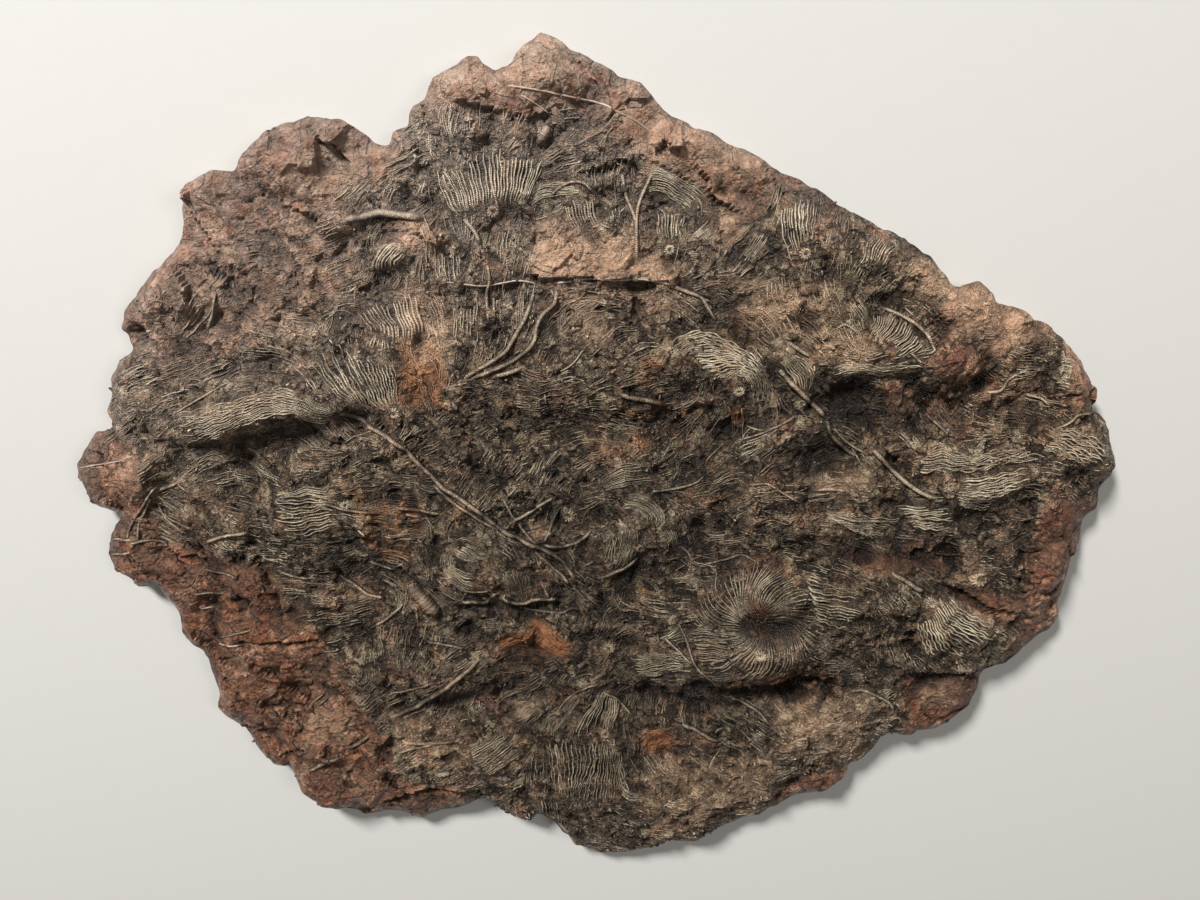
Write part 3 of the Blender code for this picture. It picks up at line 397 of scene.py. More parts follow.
# Cups that crowns grow from: middle, radius, tone
CUPS = [
    ((-288,158),10,0.45),((-45,-5),11,0.15),((62,-62),8,0.45),((10,-232),10,0.50),((-128,432),9,0.45),((106,
    376),8,0.50),((290,366),9,0.40),((205,176),8,0.35),((522,22),8,0.45),((512,-170),9,0.62),((578,-128),13,
    0.66),((-374,20),8,0.50),((250,-256),10,0.55),((0,-392),9,0.50),((294,157),8,0.50),((-57,528),9,0.70),
]

# White veins: width in mm and line
VEINS = [
    (3.4,[-101,585,-59,578,-14,568,20,560,40,550,62,539,84,523]),(2.0,[-84,574,-66,563,-48,550]),(2.0,[48,
    558,58,543]),(3.0,[-204,341,-179,338,-148,334,-118,338,-98,340,-70,334]),(3.4,[-70,334,-28,337,0,340,32,
    337,69,337,117,327]),(2.4,[-759,88,-734,92,-698,97,-670,106]),(2.4,[-18,345,-10,352]),(2.0,[-620,-145,
    -600,-143]),(3.0,[-600,-207,-580,-212,-560,-209]),(2.0,[60,345,68,338]),(2.4,[152,282,158,272]),(2.0,
    [430,290,446,276]),
]

# Cracks and open joints: width and depth in mm and line
CRACKS = [
    (5,5,[-15,628,-24,606,-22,586,-20,566]),(5,4,[40,512,73,520,111,537]),(6,5,[156,444,174,435,194,423,219,
    407]),(7,6,[-70,418,-77,385,-92,349,-60,342]),(7,5,[-556,354,-549,328,-552,306]),(6,5,[-555,298,-546,
    278,-558,250]),(6,5,[75,-165,95,-168,120,-172,142,-176]),(6,5,[650,-83,657,-102,665,-112,672,-136,675,
    -152]),(8,6,[500,-115,540,-135,570,-150,600,-166,630,-185,656,-188]),(7,5,[-590,-210,-592,-250,-596,
    -292]),(7,4,[-600,-300,-560,-318,-520,-320,-480,-304]),(7,6,[545,318,560,290,562,262,556,236,548,206]),
    (6,5,[112,-305,95,-312,70,-318]),(6,5,[-170,622,-167,596,-176,574]),(6,5,[-112,612,-116,590,-100,572]),
    (7,5,[-450,432,-420,428,-385,436,-360,428]),(7,5,[-480,470,-440,462,-405,478]),(8,6,[-330,492,-300,484,
    -262,480]),(7,5,[-520,392,-480,400,-452,386,-420,398]),(6,5,[-480,-95,-455,-100,-430,-96]),(8,6,[-140,
    442,-115,434,-92,432]),(6,5,[-575,-140,-556,-150]),(6,6,[-645,-155,-622,-157]),(8,6,[166,-478,176,
    -498]),(6,5,[258,264,280,254,302,250]),(6,5,[60,188,76,186]),(7,6,[12,42,32,46,52,40]),
]

# Zones by name: strength and outline in mm. Bare stone carries no arms.
ZONES = {
    "bare": [
        (1.0,[-800,150,-700,152,-672,112,-650,60,-660,20,-645,-30,-605,-42,-560,-62,-505,-78,-482,-105,-500,
        -130,-455,-165,-440,-205,-424,-245,-404,-300,-392,-335,-350,-400,-350,-440,-335,-478,-240,-492,-200,
        -520,-200,-640,-800,-640]),(1.0,[-800,150,-702,150,-690,200,-656,252,-636,262,-640,300,-600,345,
        -560,370,-540,384,-480,402,-425,418,-380,438,-335,445,-322,470,-262,476,-245,505,-232,540,-200,568,
        -120,562,-60,545,-20,555,20,540,48,520,112,478,157,450,216,410,258,448,300,444,360,480,0,740,-800,
        740]),(1.0,[-68,414,-90,347,0,343,60,342,112,335,118,345,70,380,20,400,-20,404]),(1.0,[160,444,202,
        420,196,385,172,384]),(1.0,[556,298,604,282,640,262,652,244,612,230,580,216,550,200,560,240]),(0.8,
        [490,328,560,330,562,290,556,250,505,246,484,282]),(1.0,[668,2,748,-8,760,-260,640,-310,642,-240,
        662,-216,640,-190,656,-160,650,-110,656,-60]),(1.0,[590,-150,640,-175,655,-192,640,-212,602,-196,
        560,-180,548,-160]),(1.0,[478,-296,520,-302,612,-296,620,-400,520,-430,478,-420,494,-380]),(1.0,
        [330,-478,400,-466,470,-440,420,-540,300,-590,262,-580,290,-520]),(1.0,[655,245,692,226,714,176,714,
        132,690,130,682,180,664,220]),(1.0,[400,190,450,178,500,166,536,150,520,128,470,132,430,144]),(1.0,
        [380,-64,440,-60,530,-66,560,-100,540,-122,470,-112,400,-108,370,-90]),(1.0,[200,-288,280,-298,372,
        -288,380,-330,320,-345,240,-330,196,-318]),(0.9,[224,-152,262,-146,286,-160,318,-190,314,-228,276,
        -232,250,-214,228,-188]),(1.0,[-166,-221,-146,-206,-126,-206,-102,-180,-80,-186,-84,-200,-62,-210,
        -45,-226,-60,-242,-80,-252,-150,-246]),(1.0,[50,-386,108,-382,120,-420,150,-450,120,-450,60,-436]),
        (0.9,[480,232,536,236,548,196,520,172,470,196]),(0.9,[540,196,576,196,580,166,546,166]),(0.8,[-240,
        420,-204,418,-204,384,-250,380,-276,392,-274,418]),(0.8,[-206,-314,-150,-318,-150,-350,-196,-352]),
        (0.9,[120,-386,150,-392,168,-404,190,-420,150,-424,120,-410]),(0.8,[-12,100,36,100,42,82,0,80]),
        (0.7,[-198,-98,-170,-104,-168,-126,-196,-124]),(0.8,[-300,-262,-345,-258,-350,-286,-300,-290]),
        (0.55,[-640,300,-560,385,-480,420,-340,455,-300,440,-330,330,-440,290,-520,250,-610,230,-655,262]),
    ],
    "rust": [
        (1.0,[-166,-221,-146,-206,-126,-206,-102,-180,-80,-186,-84,-200,-62,-210,-45,-226,-60,-242,-80,-252,
        -150,-246]),(1.0,[50,-386,108,-382,122,-420,112,-440,60,-430]),(0.8,[55,-108,75,-108,86,-150,60,
        -156]),(0.8,[76,238,106,236,104,214,76,216]),(0.9,[192,162,216,162,212,126,190,128]),(0.6,[160,90,
        186,88,182,54,154,60]),(0.5,[120,226,140,224,136,204,118,206]),(0.9,[-278,266,-214,270,-204,165,
        -278,160]),(0.4,[-750,-50,-700,-52,-690,-92,-740,-88]),(0.5,[-380,60,-250,40,-260,-40,-360,-60]),
        (0.6,[-345,-40,-290,-42,-285,-80,-330,-82]),(0.5,[0,-215,22,-218,24,-250,0,-250]),(0.4,[380,140,440,
        140,440,90,380,90]),(0.5,[-180,32,-150,36,-150,8,-180,12]),(0.5,[60,230,120,200,60,190]),(0.6,[-85,
        -96,-110,-90,-100,-130,-70,-120]),(0.4,[-190,-250,-90,-255,-80,-310,-190,-310]),(0.4,[20,220,160,
        180,150,100,40,80]),(0.4,[80,-300,180,-300,190,-380,60,-370]),
    ],
    "tan": [
        (0.9,[-228,338,-200,340,-198,272,-224,268]),(1.0,[-66,414,-88,348,0,345,60,342,112,336,118,345,70,
        380,20,400,-20,404]),(0.9,[160,444,202,420,196,385,172,384]),(0.8,[-262,338,-198,336,-198,236,-262,
        240]),(0.9,[-246,418,-206,414,-208,386,-246,384]),(0.7,[490,326,558,326,556,250,500,250]),(0.7,[558,
        296,604,280,640,262,612,232,552,202]),(0.6,[560,180,625,150,628,118,560,130]),(0.8,[566,-114,592,
        -116,594,-140,566,-144]),(0.7,[320,46,400,50,400,20,318,22]),(0.6,[318,-36,376,-40,374,-66,330,
        -58]),(0.8,[-436,-108,-410,-112,-406,-138,-432,-136]),(0.5,[-300,-120,-250,-130,-240,-165,-280,
        -165]),(0.6,[180,330,330,320,330,250,230,262]),(0.7,[300,262,400,240,380,206,300,216]),(0.8,[-20,
        120,14,118,12,100,-14,100]),(0.6,[-340,-350,-230,-345,-225,-445,-330,-440]),(0.5,[-420,-450,-376,
        -450,-384,-528,-425,-520]),(0.5,[-480,-340,-400,-330,-395,-395,-480,-390]),(0.7,[-30,320,20,318,24,
        250,-30,260]),(0.6,[60,330,130,322,120,290,60,300]),(0.5,[600,-186,650,-196,650,-222,590,-212]),
        (0.5,[220,-238,256,-240,256,-276,222,-276]),(0.6,[-150,-320,-104,-322,-120,-374,-158,-372]),(0.5,
        [505,-308,562,-310,560,-352,508,-352]),(0.6,[-370,520,-270,516,-330,440,-430,470]),(0.5,[270,-340,
        420,-330,430,-450,290,-460]),(0.5,[60,-460,280,-440,270,-560,70,-590]),(0.6,[-432,304,-396,300,-396,
        256,-430,258]),(0.5,[-640,130,-590,130,-590,96,-640,96]),(0.6,[410,360,480,350,500,300,440,300]),
        (0.4,[-200,620,-20,640,-20,580,-200,580]),(0.5,[40,600,220,500,200,440,60,500]),
    ],
    "grit": [
        (1.0,[275,-335,420,-262,480,-300,484,-400,420,-460,330,-478,280,-440]),(0.9,[60,-440,280,-420,330,
        -480,262,-580,120,-630,60,-560]),(0.9,[-335,-350,-235,-350,-225,-450,-340,-450]),(0.8,[420,362,470,
        356,500,300,440,296]),(0.7,[490,326,556,326,556,250,500,250]),(0.7,[370,118,425,116,420,82,370,86]),
        (0.8,[40,-316,74,-316,74,-338,40,-338]),(0.7,[90,-322,124,-322,120,-350,90,-348]),(0.6,[-300,-90,
        -240,-90,-250,-130,-330,-130]),(0.6,[540,0,660,0,660,-100,545,-110]),(0.6,[-200,-500,-130,-500,-110,
        -570,-190,-560]),(0.6,[420,-120,480,-130,490,-200,420,-195]),(0.5,[0,-190,110,-190,100,-250,0,
        -250]),(0.5,[100,166,190,170,180,140,100,144]),(0.5,[-230,130,-50,120,-60,40,-230,40]),(0.5,[420,
        -200,480,-200,500,-300,400,-300]),
    ],
    # Painted shade: valleys, hollows and ledge undersides; roughen() also adds the cracks' own dark lines
    # here
    "dark": [
        (0.9,[325,190,380,182,450,178,500,166,536,150,470,132,376,94,340,64,290,60,312,130]),(0.7,[370,-64,
        440,-60,530,-66,560,-100,470,-112,370,-90]),(0.9,[200,-288,280,-298,372,-288,380,-340,240,-330,100,
        -322,80,-296]),(0.9,[224,-152,262,-146,318,-190,314,-228,250,-232,228,-188]),(0.9,[5,50,52,46,50,26,
        6,30]),(0.7,[-200,-250,-80,-256,-80,-312,-190,-312]),(0.6,[-420,-40,-360,-44,-360,-100,-430,-96]),
        (0.9,[28,-110,60,-118,60,-146,24,-150]),(0.7,[-390,-560,-205,-560,-205,-500,-340,-500]),(0.6,[-450,
        150,-400,145,-500,120,-590,100,-590,120,-510,140]),(0.6,[-160,-50,-100,-60,-110,-130,-160,-90]),
        (0.5,[-260,-165,-160,-165,-170,-215,-260,-205]),(0.6,[478,-296,520,-296,560,-300,606,-300,606,-312,
        480,-316]),(0.6,[130,-300,200,-300,230,-390,120,-390]),(0.5,[-320,40,-250,60,-240,20,-320,24]),(0.5,
        [60,220,110,160,60,110,30,160]),(0.6,[-50,-60,20,-80,20,-150,-50,-140]),(0.6,[520,-80,560,-92,560,
        -130,520,-120]),(0.5,[-60,-170,20,-170,0,-250,-50,-240]),(0.5,[704,66,748,50,744,16,708,30]),
    ],
}


# ---------------------------------------------------------------- the lie of the stone


def step_lengths(line):
    """The lengths of the straight pieces of a line."""
    return np.linalg.norm(np.diff(line, axis=0), axis=1)


def mix_between(first, second, share):
    """The first where share is 0, the second where it is 1."""
    return first * (1 - share) + second * share


def distance_along(points, path):
    """For each point: its distance to the path, its side (left is positive), and how far along it is."""
    path = np.reshape(path, (-1, 2)).astype(float)
    lengths = step_lengths(path)
    starts = np.concatenate([[0.0], np.cumsum(lengths)])
    nearest = np.full(len(points), np.inf)
    side = np.zeros(len(points))
    along = np.zeros(len(points))
    for start, first, last, length in zip(starts, path[:-1], path[1:], lengths):
        direction = (last - first) / length
        offset = points - first
        run = np.clip(offset @ direction, 0.0, length)
        gap = offset - run[:, None] * direction
        distance = np.hypot(gap[:, 0], gap[:, 1])
        closer = distance < nearest
        nearest[closer] = distance[closer]
        side[closer] = np.sign(direction[0] * offset[closer, 1] - direction[1] * offset[closer, 0])
        along[closer] = (start + run[closer]) / starts[-1]
    return nearest, side, along


def inside(points, corners):
    """True where a point lies inside the closed line, by counting crossings to its right."""
    found = np.zeros(len(points), bool)
    x, y = points[:, 0], points[:, 1]
    for (x1, y1), (x2, y2) in zip(corners, np.roll(corners, -1, axis=0)):
        if y1 == y2:
            continue
        spans = (y1 > y) != (y2 > y)
        found ^= spans & (x < x1 + (y - y1) * (x2 - x1) / (y2 - y1))
    return found


def natural_lumps(points, size, seed):
    """The solid's own slow noise, between about -1 and 1."""
    return np.array([noise.noise(Vector((x / size, y / size, seed))) for x, y in points]) * 2.0


def lumps(points, size, seed):
    """Quick smooth noise between -1 and 1, with lumps of the given size."""
    lattice = np.random.default_rng(seed).uniform(-1.0, 1.0, (LATTICE, LATTICE))
    cell = points / size + 1000.0
    low = np.floor(cell).astype(int)
    share = cell - low
    share = share * share * (3.0 - 2.0 * share)
    i, j = low[:, 0] % LATTICE, low[:, 1] % LATTICE
    i2, j2 = (i + 1) % LATTICE, (j + 1) % LATTICE
    u, v = share[:, 0], share[:, 1]
    near = mix_between(lattice[i, j], lattice[i2, j], u)
    return mix_between(near, mix_between(lattice[i, j2], lattice[i2, j2], u), v)


def two_lumps(points, size, seed):
    """Two smooth noises side by side, from this seed and the next."""
    return np.stack([lumps(points, size, seed), lumps(points, size, seed + 1)], axis=1)


def tilted_planes(points, size, jitter, tilt, level):
    """For each of the nine scattered middles round every point: the way from it, and its plane's height."""
    cell = np.floor(points / size).astype(int)
    for step in np.ndindex(3, 3):
        middle = cell + step - 1
        i, j = middle.T % CELLS
        offset = points - (middle + jitter[i, j]) * size
        yield offset, level[i, j] + (offset * tilt[i, j]).sum(axis=1)


def facets(points, size, seed, slope=0.16):
    """Broken-stone facets: the highest of the tilted planes round each point, in metres."""
    dice = np.random.default_rng(seed)
    jitter = dice.uniform(0.0, 1.0, (CELLS, CELLS, 2))
    tilt = dice.normal(0.0, slope, (CELLS, CELLS, 2))
    level = dice.uniform(-0.5, 0.5, (CELLS, CELLS)) * size * slope * 1.3
    top = np.full(len(points), -np.inf)
    for offset, plane in tilted_planes(points, size, jitter, tilt, level):
        top = np.maximum(top, plane - (offset**2).sum(axis=1) * 0.35 / size)
    return top


def chips(points, size, seed, slope=0.2, step=0.08):
    """Broken-stone steps: each point on the tilted plane of the nearest of scattered middles, in metres."""
    dice = np.random.default_rng(seed)
    jitter = dice.uniform(0.0, 1.0, (CELLS, CELLS, 2))
    tilt = dice.normal(0.0, slope, (CELLS, CELLS, 2))
    level = dice.normal(0.0, step * size, (CELLS, CELLS))
    warped = points + two_lumps(points, size * 0.7, seed + 70) * size * 0.3
    best = np.full(len(points), np.inf)
    height = np.zeros(len(points))
    for offset, plane in tilted_planes(warped, size, jitter, tilt, level):
        gap = np.abs(offset).sum(axis=1)
        closer = gap < best
        best[closer] = gap[closer]
        height[closer] = plane[closer]
    return height


def blur(layer, cells, times=2):
    """A layer with each point averaged over its neighbours."""
    for _ in range(times):
        for axis in (0, 1):
            padded = np.pad(layer, [(cells + 1, cells) if a == axis else (0, 0) for a in (0, 1)], mode="edge")
            total = np.cumsum(padded, axis=axis)
            ends = np.take(total, range(2 * cells + 1, total.shape[axis]), axis=axis)
            starts = np.take(total, range(0, total.shape[axis] - 2 * cells - 1), axis=axis)
            layer = (ends - starts) / (2 * cells + 1)
    return layer


def finer(layer):
    """The same layer with a new point between each two."""
    for axis in (0, 1):
        layer = np.moveaxis(layer, axis, 0)
        doubled = np.empty((2 * len(layer) - 1,) + layer.shape[1:])
        doubled[::2] = layer
        doubled[1::2] = (layer[:-1] + layer[1:]) / 2.0
        layer = np.moveaxis(doubled, 0, axis)
    return layer


EDGE_LINE = np.array(OUTLINE + OUTLINE[:1], float) * MM


class Land:
    """The face of the stone as a map of heights, with maps of what lies where."""

    def __init__(self):
        columns, rows = math.ceil(SLAB_WIDTH / GRID_STEP) + 3, math.ceil(SLAB_HEIGHT / GRID_STEP) + 3
        self.low = -np.array((columns - 1, rows - 1)) * GRID_STEP / 2.0
        self.shape = (columns, rows)
        self.coarse = self.grid(self.shape, GRID_STEP)
        self.inward = distance_along(self.coarse, EDGE_LINE)[0]
        self.inward[~inside(self.coarse, EDGE_LINE[:-1])] = 0.0
        self.rim = finer(self.inward.reshape(self.shape))
        height, fade = self.first_height()
        self.height = finer(height.reshape(self.shape))
        self.fade = finer(fade.reshape(self.shape))
        self.fine_shape = self.height.shape
        self.fine = self.grid(self.fine_shape, FINE_STEP)
        self.zones = self.find_zones(height)
        self.roughen()

    def grid(self, shape, step):
        """The places of a map's points, one after another."""
        x, y = (self.low[axis] + np.arange(count) * step for axis, count in enumerate(shape))
        return np.stack(np.meshgrid(x, y, indexing="ij"), axis=-1).reshape(-1, 2)

    def first_height(self):
        """The solid's own hills, ledges and slow lumps, and how much of a rise the rim lets through."""
        rounding = 1.0 - np.exp(-self.inward / (EDGE_ROUNDING * 0.65))
        base = EDGE_THICKNESS + (FACE_THICKNESS - EDGE_THICKNESS) * rounding
        drawn = SHEET_MIDDLE + (self.coarse - SHEET_MIDDLE) / RELIEF_SCALE
        relief = np.zeros(len(drawn))
        for x, y, half_length, half_width, turn, rise in HILLS:
            angle = math.radians(turn)
            dx, dy = drawn[:, 0] - x, drawn[:, 1] - y
            u = (dx * math.cos(angle) + dy * math.sin(angle)) / half_length
            v = (dy * math.cos(angle) - dx * math.sin(angle)) / half_width
            relief += rise * np.clip(1.0 - (u * u + v * v) / 1.6, 0.0, None) ** 2
        for drop, reach, path in LEDGES:
            distance, side, along = distance_along(drawn, path)
            ends = np.clip(np.minimum(along, 1.0 - along) / 0.15, 0.0, 1.0)
            relief += drop * np.where(side > 0, 0.6, -0.4) * np.exp(-distance / reach) * ends
        for number, (size, rise) in enumerate(ROUGHNESS):
            relief += rise * natural_lumps(self.coarse, size, number * 7.3)
        fade = 0.35 + 0.65 * rounding
        return base + relief * fade, 0.55 + 0.45 * rounding

    def find_zones(self, height):
        """A map from 0 to 1 for each named zone, with uneven borders."""
        reach = 1.0 - (height - SHEET_LEVEL) / SHEET_REACH
        drawn = SHEET_MIDDLE + (self.coarse - SHEET_MIDDLE) / reach[:, None]
        wander = two_lumps(self.coarse, 0.020, 5) * 0.006
        wander += two_lumps(self.coarse, 0.007, 7) * 0.003
        drawn = (drawn + wander) / MM
        zones = {}
        for name, patches in ZONES.items():
            layer = np.zeros(len(drawn))
            for strength, corners in patches:
                corners = np.reshape(corners, (-1, 2)).astype(float)
                near = np.all((drawn > corners.min(axis=0)) & (drawn < corners.max(axis=0)), axis=1)
                hit = np.flatnonzero(near)
                hit = hit[inside(drawn[hit], corners)]
                layer[hit] = np.maximum(layer[hit], strength)
            zones[name] = finer(blur(layer.reshape(self.shape), 1 if name == "bare" else 2))
        return zones

    def roughen(self):
        """Broken facets on bare stone, knots and pits elsewhere, and open cracks."""
        bare = self.zones["bare"].ravel()
        crumple = 0.0100 * (0.3 - np.abs(lumps(self.fine, 0.062, 20)))
        crumple += 0.0075 * (0.3 - np.abs(lumps(self.fine, 0.030, 21)))
        crumple += 0.0026 * (0.35 - np.abs(lumps(self.fine, 0.012, 22)))
        knots = 0.0009 * lumps(self.fine, 0.0055, 23)
        slabs = facets(self.fine, 0.075, 31, 0.15) * 0.9 + chips(self.fine, 0.050, 34, 0.13, 0.035)
        small = chips(self.fine, 0.018, 35, 0.28, 0.07) * 0.8 + facets(self.fine, 0.009, 33) * 0.5
        rough = (crumple + knots) * (1.0 - 0.8 * bare) + slabs * (0.2 + 0.65 * bare)
        rough += small * (0.70 - 0.38 * bare)
        for x, y, reach, rise in SWELLS:
            rough += rise * np.exp(-((self.fine[:, 0] - x) ** 2 + (self.fine[:, 1] - y) ** 2) / reach**2)
        self.height += rough.reshape(self.fine_shape) * self.fade
        for width, depth, line in CRACKS:
            line = self.settle(line)
            low, high = line.min(axis=0) - 0.02, line.max(axis=0) + 0.02
            near = np.flatnonzero(np.all((self.fine > low) & (self.fine < high), axis=1))
            distance = distance_along(self.fine[near], line)[0]
            distance += 0.0012 * lumps(self.fine[near], 0.006, 24)
            cut = depth * MM * np.exp(-((distance / (width * MM * 0.6)) ** 2))
            self.height.reshape(-1)[near] -= cut
            dark = self.zones["dark"].reshape(-1)
            dark[near] = np.maximum(dark[near], 0.9 * np.exp(-((distance / (width * MM * 0.5)) ** 2)))

    def sample(self, layer, places):
        """A layer's value at each place."""
        cell = (np.asarray(places)[..., :2] - self.low) / FINE_STEP
        cell = np.clip(cell, 0.0, np.array(self.fine_shape) - 1.001)
        low = np.floor(cell).astype(int)
        u, v = np.moveaxis(cell - low, -1, 0)
        i, j = low[..., 0], low[..., 1]
        near = mix_between(layer[i, j], layer[i + 1, j], u)
        return mix_between(near, mix_between(layer[i, j + 1], layer[i + 1, j + 1], u), v)

    def settle(self, points):
        """Where points laid out on the sheet, in mm, come down on the stone."""
        points = np.reshape(points, (-1, 2)) * MM
        placed = points.copy()
        for _ in range(3):
            rise = self.sample(self.height, placed) - SHEET_LEVEL
            placed = SHEET_MIDDLE + (points - SHEET_MIDDLE) * (1.0 - rise / SHEET_REACH)[..., None]
        return placed

    def cover(self, places, reach):
        """A soft map, from 0 to 1, of what lies within reach of the places."""
        cells = np.round((places.reshape(-1, 2) - self.low) / FINE_STEP).astype(int)
        cells = np.clip(cells, 0, np.array(self.fine_shape) - 1)
        margin = round(reach / FINE_STEP) * 3 + 2
        low = np.maximum(cells.min(axis=0) - margin, 0)
        high = np.minimum(cells.max(axis=0) + margin, self.fine_shape)
        patch = np.zeros(high - low)
        patch[tuple((cells - low).T)] = 1.0
        patch = np.clip(blur(patch, round(reach / FINE_STEP / 2), 1) * 3.5, 0.0, 1.0)
        patch = blur(patch, round(reach / FINE_STEP / 2), 2)
        return (slice(low[0], high[0]), slice(low[1], high[1])), patch

    def raise_bed(self, places, rise, reach=0.009):
        """Smooths the stone under the places and lifts it in a low dome."""
        window, patch = self.cover(places, reach)
        even = blur(self.height[window], 4, 2)
        self.height[window] += (even - self.height[window]) * np.clip(patch * 1.2, 0.0, 0.85)
        self.height[window] += rise * np.clip(patch * 1.25, 0.0, 1.0) * self.room()[window]

    def room(self):
        """How much of a rise still fits, near the rim and under the ceiling."""
        return self.fade * np.clip((CEILING - 0.004 - self.height) / 0.010, 0.0, 1.0)

    def find_flow(self, guides):
        """Which way the fossils run at each place, kept as the cosine and sine of twice the angle."""
        self.flow = []
        weight = np.full(len(self.coarse), 1e-6)
        pull = np.zeros((2, len(self.coarse)))
        for x, y, angle in guides:
            near = np.exp(-((self.coarse[:, 0] - x) ** 2 + (self.coarse[:, 1] - y) ** 2) / FLOW_SPREAD)
            weight += near
            pull += near * np.array((math.cos(2 * angle), math.sin(2 * angle)))[:, None]
        for part in pull / weight:
            self.flow.append(finer(blur(part.reshape(self.shape), 1)))

    def hollows(self):
        """How sunken each point lies (below nought, how proud), over a hand's and a finger's breadth."""
        wide = (blur(self.height, 16, 2) - self.height) * np.clip(self.rim / 0.035, 0.0, 1.0)
        close = blur(self.height, 4, 2) - self.height
        return np.clip(wide / 0.009, -1.0, 1.0) * 0.6 + np.clip(close / 0.0020, -1.0, 1.0) * 0.5


# ---------------------------------------------------------------- lines that arms follow


def smooth_line(points, count):
    """A smooth curve through the points, as evenly spaced places."""
    points = np.reshape(points, (-1, 2)).astype(float)
    if len(points) < 3:
        return mix_between(points[0], points[-1], np.linspace(0.0, 1.0, count)[:, None])
    before = np.vstack([2 * points[0] - points[1], points, 2 * points[-1] - points[-2]])
    curve = []
    for a, b, c, d in zip(before, before[1:], before[2:], before[3:]):
        t = np.linspace(0.0, 1.0, 9)[:-1, None]
        squared, cubed = 2 * a - 5 * b + 4 * c - d, 3 * b - a - 3 * c + d
        curve.append(0.5 * (2 * b + (c - a) * t + squared * t**2 + cubed * t**3))
    curve = np.vstack(curve + [points[-1:]])
    along = np.concatenate([[0.0], np.cumsum(step_lengths(curve))])
    want = np.linspace(0.0, along[-1], count)
    return np.stack([np.interp(want, along, curve[:, axis]) for axis in (0, 1)], axis=1)


def across(line):
    """The unit vector to the left of a line, at each of its points."""
    ahead = np.gradient(line, axis=-2)
    ahead /= np.linalg.norm(ahead, axis=-1, keepdims=True) + 1e-9
    return np.stack([-ahead[..., 1], ahead[..., 0]], axis=-1)


class Strands:
    """Lines with a thickness and a tone, which become tubes."""

    def __init__(self):
        self.lines = []

    def add(self, places, thickness, tone):
        places = np.asarray(places, float)
        thickness = np.broadcast_to(thickness, len(places)).astype(float)
        tone = np.broadcast_to(tone, len(places)).astype(float)
        self.lines.append((places, thickness, np.clip(tone, 0.0, 1.0)))

    def shared(self, parts):
        """The lines in parts of like length, from left to right."""
        ordered = sorted(self.lines, key=lambda line: line[0][:, 0].mean())
        spans = [step_lengths(line[0]).sum() for line in ordered]
        places = np.cumsum(spans) / (sum(spans) + 1e-9) * parts
        groups = [Strands() for _ in range(parts)]
        for place, line in zip(places, ordered):
            groups[min(int(place), parts - 1)].lines.append(line)
        return groups


def lay(land, strands, line, thickness, tone, lift=0.0, sink=1.8, bury=1.0):
    """Lays one line on the stone, its ends running in under the surface."""
    clear = land.sample(land.rim, line) > np.max(thickness) * 1.2 + 0.0015
    if not clear.all():
        first = int(clear.argmax())
        last = first + int((~clear[first:]).argmax() if not clear[first:].all() else clear[first:].sum())
        line = line[first:last]
        if np.ndim(thickness):
            thickness = thickness[first:last]
        if np.ndim(tone):
            tone = tone[first:last]
        if len(line) < 4:
            return
    along = np.linspace(0.0, 1.0, len(line))
    ends = np.clip(np.minimum(along, 1.0 - along) / max(0.08, 1.6 / len(line)), 0.0, 1.0)
    height = land.sample(land.height, line)
    if len(height) > 3:
        height[1:-1] = height[1:-1] * 0.5 + (height[:-2] + height[2:]) * 0.25
    buried = 0.75 * lumps(line, 0.017, 44) + 0.5 * lumps(line, 0.007, 45)
    height = height + thickness * (lift + bury * buried - sink * (1.0 - ends))
    height = np.minimum(height, CEILING - thickness)
    strands.add(np.column_stack([line, height]), thickness, tone)


def crown_lines(land, count, wave, fork, guides, dice):
    """Even arms between the guide lines: paired low down, waving together, tips uneven."""
    guides = [land.settle(smooth_line(guide, 40)) for guide in guides]
    reach = max(step_lengths(guide).sum() for guide in guides)
    points = max(5, int(reach / ARM_STEP))
    guides = np.array([smooth_line(guide[::3], points) for guide in guides])
    share = np.linspace(0.0, 1.0, points)
    place = np.linspace(0.0, 1.0, count) + dice.normal(0.0, 0.16 / count, count)
    partner = (np.arange(count) // 2 * 2 + 0.5) / max(count - 1, 1)
    phase = dice.uniform(0.0, WAVE_TURN)
    lines = []
    for number in range(count):
        if fork:
            open_up = np.clip(share / fork, 0.0, 1.0) ** 0.7
        else:
            open_up = np.ones(points)
        where = partner[number] + (place[number] - partner[number]) * open_up
        where = np.clip(where, 0.0, 1.0) * (len(guides) - 1)
        low = np.minimum(where.astype(int), len(guides) - 2)
        part = (where - low)[:, None]
        line = mix_between(guides[low, np.arange(points)], guides[low + 1, np.arange(points)], part)
        phase += dice.normal(0.0, 0.35)
        swing = wave * MM * np.sin(WAVE_TURN * share * reach / dice.uniform(0.026, 0.034) + phase)
        line = line + across(line) * swing[:, None]
        lines.append(line)
    return np.array(lines)


